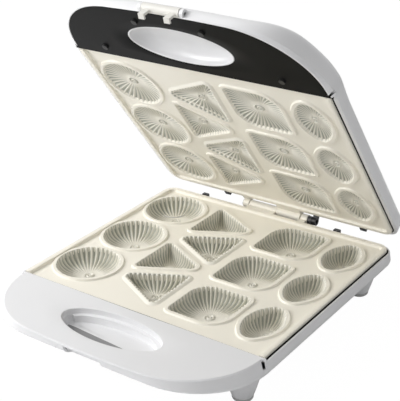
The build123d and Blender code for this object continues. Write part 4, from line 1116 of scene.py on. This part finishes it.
    def legs(self) -> list[Patch]:
        """Turn the four conical legs.

        Returns:
            Four steep cones, each rounded at the foot and wider where it meets the skirt.
        """
        level = np.array([4.0, 4.0, 4.25, 5.0, 10.0, 16.0, 21.0, 26.0, 30.0, 33.0])[:, None]
        radius = np.array([0.5, 9.0, 9.3, 9.7, 11.4, 13.2, 14.6, 15.8, 16.7, 17.4])[:, None]
        turn = np.linspace(0, 2 * np.pi, 64, endpoint=False)
        front, rear = LAYOUT.shell_front + self.front_foot_behind, LAYOUT.shell_rear - self.rear_foot_ahead
        places = [(x, y) for x in (-self.foot_x, self.foot_x) for y in (front, rear)]
        return [Patch.grid(np.stack([x + radius * np.cos(turn), y + radius * np.sin(turn),
                                     np.broadcast_to(level, (len(level), len(turn)))], axis=-1))
                for x, y in places]

    def gland_boss(self) -> Patch:
        """Turn the flat boss that takes the cord gland in the rear wall.

        Returns:
            The boss, from the inside of its hole, round its face, to the wall.
        """
        turn = np.linspace(0, 2 * np.pi, 64, endpoint=False)
        face = LAYOUT.shell_rear - 1.0
        profile = np.array([(7.1, -8.4), (7.1, -0.2), (7.3, 0.0), (10.1, 0.0), (10.45, -0.3), (10.5, -0.9),
                            (10.5, -18.4)])
        radius, along = profile[:, :1], profile[:, 1:]
        return Patch.grid(np.stack([self.gland_x + radius * np.cos(turn),
                                    np.broadcast_to(face + along, (len(profile), len(turn))),
                                    self.gland_z + radius * np.sin(turn)], axis=-1))

    def make(self) -> None:
        """Build the tray and let it stand for the base housing."""
        patches = [*self.skin(), *self.legs(), self.gland_boss()]
        shell = build("base_shell", patches, Side.BASE, [self.finishes.white, self.finishes.shadow],
                      crease=35)
        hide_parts("base_housing")


@dataclass
class LidShell:
    """The white shell of the lid: flared rim, waist, rounded edge and crown."""

    finishes: Finishes
    steps: EdgeSteps = field(default_factory=lambda: EdgeSteps(
        notch=56.0, elbow=59.6, rear=53.4, side=50.9, handle=49.4, slot=53.4, front=58.55, front_half=19.6))
    rim_level: float = 49.4
    waist_level: float = 52.4
    edge_level: float = 69.5
    shoulder_rise: float = 3.4
    shoulder_behind: float = 30.0
    shoulder_run: float = 55.0
    grip_drop: float = 8.2
    grip_half: float = 120.0
    grip_run: float = 52.0
    crown_level: float = 77.9
    edge_radius: float = 11.0
    flare: float = 1.6
    crown_ahead: float = 36.0
    crown_share: float = 0.66
    crown_bulge: float = 0.55
    inner_depth: float = 12.0
    wall: float = 2.6
    latch_ahead: float = 1.5
    latch_level: float = 53.7
    latch_bay: float = 4.85

    @property
    def latch_y(self) -> float:
        """The latch's axis along y."""
        return LAYOUT.shell_front - self.latch_ahead

    def outer(self, share: np.ndarray, level: np.ndarray) -> np.ndarray:
        """Find the outer surface's points at levels from the rim to the top of the rounded edge.

        Args:
            share: signed shares of the half outline.
            level: the level at each column.

        Returns:
            The x and y: a straight flare from the rim to the waist, then a quarter round whose inset
            is the radius less the square root of the radius squared less the rise squared.
        """
        flare = HANDLE_EDGE.at(share, -self.flare)
        waist = LID_WAIST.at(share)
        inward = LID_WAIST.at(share, 1.0) - waist
        part = np.clip((level - self.rim_level) / (self.waist_level - self.rim_level), 0, 1)[:, None]
        rise = np.clip((level - self.edge_at(share) + self.edge_radius) / self.edge_radius, 0, 1)
        inset = self.edge_radius * (1 - np.sqrt(1 - rise**2))
        return flare + (waist - flare) * part + inward * inset[:, None]

    def edge_at(self, share: np.ndarray) -> np.ndarray:
        """Give the level of the rounded edge's top: high at the front shoulders, low over the grip.

        Args:
            share: signed shares of the half outline.

        Returns:
            The flank's level, raised towards the front and lowered in its middle by smooth steps.
        """
        x, y = LID_WAIST.at(share).T
        forward = eased((LAYOUT.front + self.shoulder_behind - y) / self.shoulder_run)
        middle = eased((self.grip_half - np.abs(x)) / self.grip_run)
        return self.edge_level + self.shoulder_rise * forward - self.grip_drop * forward * middle

    def rim_rings(self, share: np.ndarray, low: np.ndarray) -> list[np.ndarray]:
        """Work out the rings down the inner wall and round the rim.

        Args:
            share: signed shares of the half outline.
            low: the rim's level at each.

        Returns:
            The rings, from the inner wall's top to the outer side of the rim.
        """
        beside_plate = np.abs(share) < HANDLE_EDGE.share_at_y(LAYOUT.front - LAYOUT.slit_start)
        inward = HANDLE_EDGE.at(share, 1.0) - HANDLE_EDGE.at(share)
        edge = self.outer(share, low)
        inner = np.where(beside_plate[:, None], HANDLE_EDGE.at(share, 1.7), HANDLE_EDGE.at(share, -0.3))
        top = np.maximum(low + 1.0, self.rim_level + self.inner_depth)
        rings = [ring(self.outer(share, top) + inward * self.wall, top)]
        rings += [ring(inner - inward * give, low + rise)
                  for give, rise in ((0.0, 0.6), (0.0, 0.3), (0.1, 0.08), (0.3, 0.0))]
        rings += [ring(edge + inward * give, low + rise) for give, rise in ((0.5, 0.0), (0.15, 0.1))]
        return rings

    def side_rings(self, share: np.ndarray, low: np.ndarray) -> list[np.ndarray]:
        """Work out the rings up the flare, round the edge and over the crown.

        Args:
            share: signed shares of the half outline.
            low: the rim's level at each.

        Returns:
            The rings, from just over the rim to the crown's middle.
        """
        level = low + 0.4
        rings = [ring(self.outer(share, level), level)]
        for part in np.linspace(0, 1, 5)[1:]:
            step = np.maximum(level + (self.waist_level - level) * part, level + 0.02 * part)
            rings.append(ring(self.outer(share, step), step))
        current = np.maximum(self.waist_level, level + 0.02)
        edge = self.edge_at(share)
        for turn in np.linspace(0, np.pi / 2, 14)[1:]:
            step = edge - self.edge_radius * (1 - np.sin(turn))
            step = np.minimum(np.maximum(step, current + 0.03 * turn), edge)
            rings.append(ring(self.outer(share, step), step))
        top = LID_WAIST.at(share, self.edge_radius)
        middle = np.array([0.0, LAYOUT.plate_y - self.crown_ahead])
        for keep in np.linspace(1, 0, 25)[1:]:
            rise = (self.crown_level - edge) * self.crown_height(keep)
            rings.append(ring(middle + (top - middle) * keep, edge + rise))
        return rings

    def crown_height(self, keep: float) -> float:
        """Give the crown's rise at a share of the way out: a parabola that levels off on the flat top."""
        part = np.clip((1 - keep) / (1 - self.crown_share), 0, 1)
        return float(part * (1 + self.crown_bulge - self.crown_bulge * part)) if part < 1 else 1.0

    def skin(self) -> list[Patch]:
        """Work out the shell, with the latch's bay pressed into its front and painted black as shadow.

        Returns:
            The inner wall, painted black as shadow, and the skin round the rim and edge and up over the
            crown.
        """
        share, low = self.steps.columns()
        inside = np.abs(share) >= HANDLE_EDGE.share_at_front(self.steps.front_half)
        top = self.steps.front + 0.5
        grid = np.stack(pressed(self.rim_rings(share, low) + self.side_rings(share, low), inside, top,
                                self.latch_y + self.latch_bay))
        skin = Patch.grid(grid[2:], flip=True)
        # the latch bay's faces are painted black as shadow
        skin.material[(inside[None, :] & (grid[3:, :, 2] < top)).ravel()] = 1
        return [Patch.grid(grid[:3], flip=True, material=1), skin]

    def ears(self) -> list[Patch]:
        """Turn the two ears that hold the latch's pin.

        Returns:
            A short drum on either side of the latch.
        """
        turn = np.linspace(0, 2 * np.pi, 40, endpoint=False)
        along = np.array([19.6, 19.6, 19.75, 23.0, 23.2, 23.2])[:, None]
        radius = np.array([0.3, 3.85, 4.0, 4.0, 3.8, 0.3])[:, None]
        return [Patch.grid(np.stack([np.broadcast_to(way * along, (len(along), len(turn))),
                                     self.latch_y + radius * np.cos(turn),
                                     self.latch_level + radius * np.sin(turn)], axis=-1), flip=way < 0)
                for way in (-1, 1)]

    def make(self) -> None:
        """Build the shell and let it stand for the lid housing."""
        shell = build("lid_shell", [*self.skin(), *self.ears()], Side.LID,
                      [self.finishes.white, self.finishes.shadow], crease=35)
        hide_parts("lid_housing")


# Handle panels and their finger dishes


@dataclass
class FingerDish:
    """The oval hollow for the fingers, with a ledge along its rear side."""

    side: Side
    half_length: float = 53.0
    half_width: float = 21.5
    from_front: float = 41.0
    depth: float = 11.5
    ledge_depth: float = 5.0
    ledge: float = 4.0
    narrow_ledge: float = 0.5
    ledge_start: float = np.radians(-18.0)
    ledge_full: float = np.radians(12.0)
    ledge_end: float = np.radians(163.0)
    rim: float = 1.6
    rim_drop: float = 0.75
    lean: float = 0.14
    bowl_run: float = 12.0

    @property
    def y(self) -> float:
        """The dish's middle along y."""
        return LAYOUT.shell_front + self.from_front

    def oval(self, angles: np.ndarray, inset: np.ndarray | float) -> np.ndarray:
        """Sample the dish's oval at given angles, drawn in by an inset."""
        return np.stack([(self.half_length - inset) * np.cos(angles),
                         self.y + (self.half_width - inset) * np.sin(angles)], axis=-1)

    def ledge_width(self, angles: np.ndarray) -> np.ndarray:
        """Give the width of the ledge.

        Args:
            angles: angles on the dish's oval.

        Returns:
            The width at each: full along the rear, ending in a step at the left and fading at the
            right.
        """
        signed = (angles + np.pi) % (2 * np.pi) - np.pi
        fade = np.clip((signed - self.ledge_start) / (self.ledge_full - self.ledge_start), 0, 1)
        wide = np.where(signed < self.ledge_end, fade, 0.0)
        return self.narrow_ledge + (self.ledge - self.narrow_ledge) * wide

    def rings(self, angles: np.ndarray, plane: float, way: int) -> list[np.ndarray]:
        """Follow the dish's section from its rounded edge down to its floor.

        Args:
            angles: the columns' angles on the oval.
            plane: the level of the handle's face.
            way: -1 where the dish sinks, 1 where it rises into the lid.

        Returns:
            Rings from the edge inwards, each an inset oval at its depth.
        """
        section = [(-0.9, 0.0), (-0.45, 0.08), (-0.12, 0.3), (0.0, self.rim_drop)]
        if self.side is Side.LID:
            bowl = self.depth - self.rim_drop
            section += [(self.bowl_run * (1 - np.cos(turn)), self.rim_drop + bowl * np.sin(turn))
                        for turn in np.linspace(0, np.pi / 2, 12)[1:]]
        else:
            step = self.ledge_depth * self.lean
            end = self.ledge_width(angles) + step
            foot = end + (self.depth - self.ledge_depth) * self.lean
            section += [(step * 0.8, self.ledge_depth - 0.6), (step + 0.1, self.ledge_depth - 0.1),
                        (step + 0.3, self.ledge_depth), (end - 0.1, self.ledge_depth),
                        (end + 0.1, self.ledge_depth + 0.1), (end + 0.2, self.ledge_depth + 0.4),
                        (foot, self.depth - 0.6), (foot + 0.2, self.depth - 0.1), (foot + 0.6, self.depth),
                        (foot + 3.2, self.depth), (end - step + 9.0, self.depth)]
        return [ring(self.oval(angles, inset), plane + way * depth) for inset, depth in section]


@dataclass
class HandlePanel:
    """A handle's flat panel round the finger dish."""

    side: Side
    finishes: Finishes
    base_plane: float = 47.0
    lid_plane: float = 49.4
    thickness: float = 2.4
    rear_gap: float = 0.4
    base_inset: float = 0.55
    corner_pair: float = 0.003
    slot_lift: float = 0.06

    @property
    def dish(self) -> FingerDish:
        """The dish of this handle."""
        return FingerDish(self.side)

    @property
    def plane(self) -> float:
        """Level of the panel's face, with the lid closed."""
        return self.base_plane if self.side is Side.BASE else self.lid_plane

    def border_line(self, inset: float) -> np.ndarray:
        """Trace the panel's outline.

        Args:
            inset: the gap to the handle's edge.

        Returns:
            A closed loop from the rear right corner round the front and along the rear.
        """
        half = HANDLE_EDGE.at(np.linspace(0, 1, 1500), inset)
        rear = LAYOUT.front - self.rear_gap
        corner = [np.interp(-rear, -half[:, 1], half[:, 0]), rear]
        right = np.vstack([corner, half[half[:, 1] <= rear]])
        line = np.vstack([right, (right * [-1, 1])[::-1]])
        return np.vstack([line, np.linspace(line[-1], line[0], 200)[1:-1]])

    def angles(self, inset: float) -> np.ndarray:
        """Choose the angles of the panel's columns on the dish's oval.

        Args:
            inset: the gap to the handle's edge.

        Returns:
            Even angles, with a close pair at each rear corner and at the ledge's step.
        """
        corner_x, rear = self.border_line(inset)[0]
        dish = self.dish
        corner = np.arctan2((rear - dish.y) / dish.half_width, corner_x / dish.half_length)
        even = np.linspace(0, 2 * np.pi, 188, endpoint=False)
        extra = [angle + shift for angle in (corner, np.pi - corner, dish.ledge_end)
                 for shift in (-self.corner_pair, self.corner_pair)]
        return np.sort(np.concatenate([even, extra]))

    def border(self, inset: float, angles: np.ndarray) -> np.ndarray:
        """Cut the panel's outline by rays from the dish's middle through the oval's points.

        Args:
            inset: the gap to the handle's edge.
            angles: the columns' angles on the oval.

        Returns:
            The outline's point on each ray.
        """
        dish = self.dish
        about = np.array([0.0, dish.y])
        line = self.border_line(inset) - about
        turn = np.mod(np.arctan2(line[:, 1], line[:, 0]), 2 * np.pi)
        order = np.argsort(turn)
        rays = dish.oval(angles, 0.0) - about
        wanted = np.mod(np.arctan2(rays[:, 1], rays[:, 0]), 2 * np.pi)
        reach = np.interp(wanted, turn[order], np.hypot(*line.T)[order], period=2 * np.pi)
        return about + unit(rays) * reach[:, None]

    def patches(self) -> list[Patch]:
        """Work out the panel.

        Returns:
            Its edge and face, going on into the base's dish with its floor, the painted shade of its slot
            and painted shade along its rear edge, or round the lid's window for the cup.
        """
        base = self.side is Side.BASE
        way = -1 if base else 1
        dish = self.dish
        inset = self.base_inset if base else 0.0
        angles = self.angles(inset)
        outer = self.border(inset, angles)
        inward = unit(np.array([0.0, dish.y]) - outer)
        rings = [ring(outer + inward * draw, self.plane + way * depth)
                 for draw, depth in ((0.0, self.thickness), (0.0, 0.4), (0.12, 0.1), (0.4, 0.0), (0.75, 0.0))]
        window = -0.95 if base else -dish.rim - 0.5
        inner = dish.oval(angles, window)
        rings += [ring(outer * (1 - share) + inner * share, self.plane) for share in (0.35, 0.7)]
        if base:
            rings += dish.rings(angles, self.plane, way)
        else:
            rings += [ring(dish.oval(angles, window + grow), self.plane + depth)
                      for grow, depth in ((0.0, 0.0), (0.25, 0.08), (0.38, 0.3), (0.4, self.thickness))]
        skin = Patch.grid(np.stack(rings), flip=not base)
        if not base:
            return [skin]
        # painted shade: a dark grey band on the rounded rear edge stands for the shade in the gap to the
        # plate
        rear = outer[:, 1] > outer[:, 1].max() - 0.05
        gap_shade_rows = slice(1, 4)
        skin.material.reshape(len(rings) - 1, len(angles))[gap_shade_rows, rear & np.roll(rear, -1)] = 2
        return [skin, Patch.cap(rings[-1]), self.floor_slot_shade()]

    def floor_slot_shade(self) -> Patch:
        """Lay the grey sliver of painted shade that stands for the slot, tapering across the left half of the
        dish's floor.

        Returns:
            A grey sliver of painted shade just over the floor, between a near and a rear line.
        """
        along = np.array([-48.0, -40.0, -28.0, -14.0, 2.0, 24.0])
        near = np.array([-3.0, -8.5, -11.0, -12.0, -12.0, -9.0])
        rear = np.array([-1.0, -1.0, -1.9, -2.9, -4.0, -5.8])
        level = self.plane - self.dish.depth + self.slot_lift
        rows = [ring(np.stack([along, line + self.dish.y], axis=-1), level) for line in (near, rear)]
        # the sliver is painted shade standing for the slot's dark inside
        return Patch.grid(np.stack(rows), wrap=False, material=1)

    def cup(self) -> list[Patch]:
        """Work out the lid's cup.

        Returns:
            A thin white rim in the panel's window with the hollow behind it, and the hollow's floor.
        """
        dish = self.dish
        angles = np.linspace(0, 2 * np.pi, 192, endpoint=False)
        rim = [ring(dish.oval(angles, -dish.rim + draw), self.plane + depth)
               for draw, depth in ((0.0, 6.0), (0.0, 0.35), (0.15, 0.08), (0.4, 0.0))]
        grid = np.stack(rim + dish.rings(angles, self.plane, 1))
        return [Patch.grid(grid, flip=True), Patch.cap(grid[-1], flip=True)]

    def make(self) -> None:
        """Build the panel in place of its plain solid, and the lid's cup."""
        if self.side is Side.BASE:
            # The panel's second material is the slot's painted shade, its third the painted shade in the gap
            # at its rear edge.
            panel = build("base_panel_with_dish", self.patches(), self.side,
                          [self.finishes.panel, self.finishes.recess, self.finishes.elbow], crease=35)
            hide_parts("base_handle_panel")
            return
        panel = build("lid_panel_with_window", self.patches(), self.side, [self.finishes.charcoal], crease=35)
        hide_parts("lid_handle_panel")
        cup = build("lid_finger_cup", self.cup(), self.side, [self.finishes.white], crease=35)


# Everything that keeps its own solid, and the studio


def dress_solids(finishes: Finishes) -> None:
    """Give each solid that stays its own finish.

    Args:
        finishes: the cooker's finishes.
    """
    wanted = [
        (finishes.cream, ("lower_plate", "upper_plate")),
        (finishes.latch, ("latch_clip",)),
        (finishes.rubber, ("rubber_feet",)),
        (finishes.white, ("bottom_cover", "lamp_holder")),
        (finishes.sheath, ("lower_element", "upper_element")),
        (finishes.steel, ("bottom_cover_screws", "lower_element_clips", "upper_element_clips",
                          "lower_clip_screws", "upper_clip_screws", "lower_reflector", "upper_reflector",
                          "thermal_fuse", "hinge_pin", "latch_pin")),
        (finishes.ceramic, ("thermostat", "terminal_block")),
        (finishes.black, ("lid_panel_screws", "cord_gland", "base_plate_clips", "lid_plate_clips",
                          "lid_lead_elbow")),
        (finishes.elbow, ("base_lead_elbow",)),
        (finishes.red, ("power_lamp_lens",)),
        (finishes.green, ("ready_lamp_lens",)),
    ]
    for material, names in wanted:
        for name in names:
            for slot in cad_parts[name].material_slots:
                slot.material = material
    LOG.info("dressed %d solids", sum(len(names) for _, names in wanted))


@dataclass(frozen=True)
class Lamp:
    """A soft square lamp: where it hangs, in metres, its size and its power."""

    name: str
    place: tuple[float, float, float]
    size: float
    power: float

    def hang(self) -> None:
        """Make the lamp and aim it at the cooker's middle."""
        data = bpy.data.lights.new(self.name, "AREA")
        data.size = self.size
        data.energy = self.power
        lamp = bpy.data.objects.new(self.name, data)
        lamp.location = self.place
        aim = Vector((0.0, 0.0, 0.1)) - Vector(self.place)
        lamp.rotation_euler = aim.to_track_quat("-Z", "Y").to_euler()
        bpy.context.scene.collection.objects.link(lamp)


@dataclass
class Studio:
    """Floor, lamps, world and camera."""

    aim_x: float = -87.595
    aim_behind_plate: float = 105.8
    aim_z: float = 45.0
    distance: float = 1135.256
    azimuth: float = 36.017
    elevation: float = 25.102
    roll: float = -1.461
    focal_pixels: float = 1054.636
    long_side: float = 401.0
    sensor: float = 36.0
    room_light: float = 0.34
    floor_size: float = 6.0
    floor_tone: float = 0.86
    floor_roughness: float = 0.9
    floor_glow: float = 0.965
    glow_strength: float = 1.02
    lamps: tuple[Lamp, ...] = (
        Lamp("key", (-1.15, -0.6, 0.95), 0.9, 16.5), Lamp("front", (-0.9, -1.0, 0.7), 0.7, 6.5),
        Lamp("side", (1.2, -0.3, 0.55), 0.9, 0.8), Lamp("top", (-0.3, 0.2, 1.9), 1.6, 5.5))

    def camera(self) -> None:
        """Stand the camera where the photograph was taken from."""
        azimuth, elevation, roll = np.radians([self.azimuth, self.elevation, self.roll])
        back = np.array([np.sin(azimuth) * np.cos(elevation), -np.cos(azimuth) * np.cos(elevation),
                         np.sin(elevation)])
        right = np.array([np.cos(azimuth), np.sin(azimuth), 0.0])
        up = np.cross(back, right)
        target = np.array([self.aim_x, LAYOUT.plate_y + self.aim_behind_plate, self.aim_z])
        data = bpy.data.cameras.new("camera")
        data.lens = self.focal_pixels * self.sensor / self.long_side
        data.sensor_width = self.sensor
        data.clip_start = 0.01
        camera = bpy.data.objects.new("camera", data)
        bpy.context.scene.collection.objects.link(camera)
        turn = Matrix((np.cos(roll) * right + np.sin(roll) * up,
                       np.cos(roll) * up - np.sin(roll) * right, back))
        place = Vector((target + back * self.distance) * MM)
        camera.matrix_world = Matrix.Translation(place) @ turn.transposed().to_4x4()
        bpy.context.scene.camera = camera

    def seen_or_light(self, nodes: bpy.types.Nodes, links: bpy.types.NodeLinks,
                      names: tuple[str, ...]) -> bpy.types.NodeSocket:
        """Find out whether a ray is of one of the named kinds.

        Args:
            nodes: the nodes to add to.
            links: their links.
            names: the light path's outputs.

        Returns:
            The largest of those outputs.
        """
        path = nodes.new("ShaderNodeLightPath")
        found = path.outputs[names[0]]
        for name in names[1:]:
            larger = nodes.new("ShaderNodeMath")
            larger.operation = "MAXIMUM"
            links.new(found, larger.inputs[0])
            links.new(path.outputs[name], larger.inputs[1])
            found = larger.outputs[0]
        return found

    def background(self, nodes: bpy.types.Nodes, strength: float) -> bpy.types.Node:
        """Add a white background.

        Args:
            nodes: the nodes to add to.
            strength: how bright it is.

        Returns:
            The background's node.
        """
        shader = nodes.new("ShaderNodeBackground")
        shader.inputs["Color"].default_value = (1.0, 1.0, 1.0, 1.0)
        shader.inputs["Strength"].default_value = strength
        return shader

    def world(self) -> None:
        """Light the room evenly, and show it white to the camera and in reflections."""
        world = bpy.data.worlds.new("studio")
        world.use_nodes = True
        nodes, links = world.node_tree.nodes, world.node_tree.links
        nodes.clear()
        seen = self.background(nodes, 1.0)
        light = self.background(nodes, self.room_light)
        mix = nodes.new("ShaderNodeMixShader")
        out = nodes.new("ShaderNodeOutputWorld")
        kinds = ("Is Camera Ray", "Is Glossy Ray", "Is Transmission Ray")
        links.new(self.seen_or_light(nodes, links, kinds), mix.inputs["Fac"])
        links.new(light.outputs[0], mix.inputs[1])
        links.new(seen.outputs[0], mix.inputs[2])
        links.new(mix.outputs[0], out.inputs["Surface"])
        bpy.context.scene.world = world

    def floor(self) -> None:
        """Lay the pale floor that is white to the camera and keeps the cooker's shadow."""
        size = self.floor_size
        mesh = bpy.data.meshes.new("floor")
        mesh.from_pydata([(-size, -size, 0), (size, -size, 0), (size, size, 0), (-size, size, 0)], [],
                         [(0, 1, 2, 3)])
        floor = bpy.data.objects.new("floor", mesh)
        bpy.context.scene.collection.objects.link(floor)
        material = bpy.data.materials.new("pale_floor")
        material.use_nodes = True
        nodes, links = material.node_tree.nodes, material.node_tree.links
        shader = nodes["Principled BSDF"]
        shader.inputs["Base Color"].default_value = (self.floor_tone, self.floor_tone, self.floor_tone, 1.0)
        shader.inputs["Roughness"].default_value = self.floor_roughness
        glow = nodes.new("ShaderNodeEmission")
        glow.inputs["Strength"].default_value = self.glow_strength
        share = nodes.new("ShaderNodeMath")
        share.operation = "MULTIPLY"
        share.inputs[1].default_value = self.floor_glow
        mix = nodes.new("ShaderNodeMixShader")
        links.new(self.seen_or_light(nodes, links, ("Is Camera Ray",)), share.inputs[0])
        links.new(share.outputs[0], mix.inputs["Fac"])
        links.new(shader.outputs[0], mix.inputs[1])
        links.new(glow.outputs[0], mix.inputs[2])
        links.new(mix.outputs[0], nodes["Material Output"].inputs["Surface"])
        mesh.materials.append(material)

    def make(self) -> None:
        """Set up the whole studio."""
        bpy.context.scene.view_settings.view_transform = "Standard"
        self.camera()
        self.world()
        self.floor()
        for lamp in self.lamps:
            lamp.hang()


def main() -> None:
    """Dress the whole cooker and set up the studio."""
    logging.basicConfig(level=logging.INFO, format="%(name)s: %(message)s")
    finishes = Finishes()
    dress_solids(finishes)
    CookingPlate(Side.BASE, finishes).make()
    CookingPlate(Side.LID, finishes).make()
    BaseShell(finishes).make()
    LidShell(finishes).make()
    HandlePanel(Side.BASE, finishes).make()
    HandlePanel(Side.LID, finishes).make()
    Studio().make()


if __name__ == "__main__":
    main()
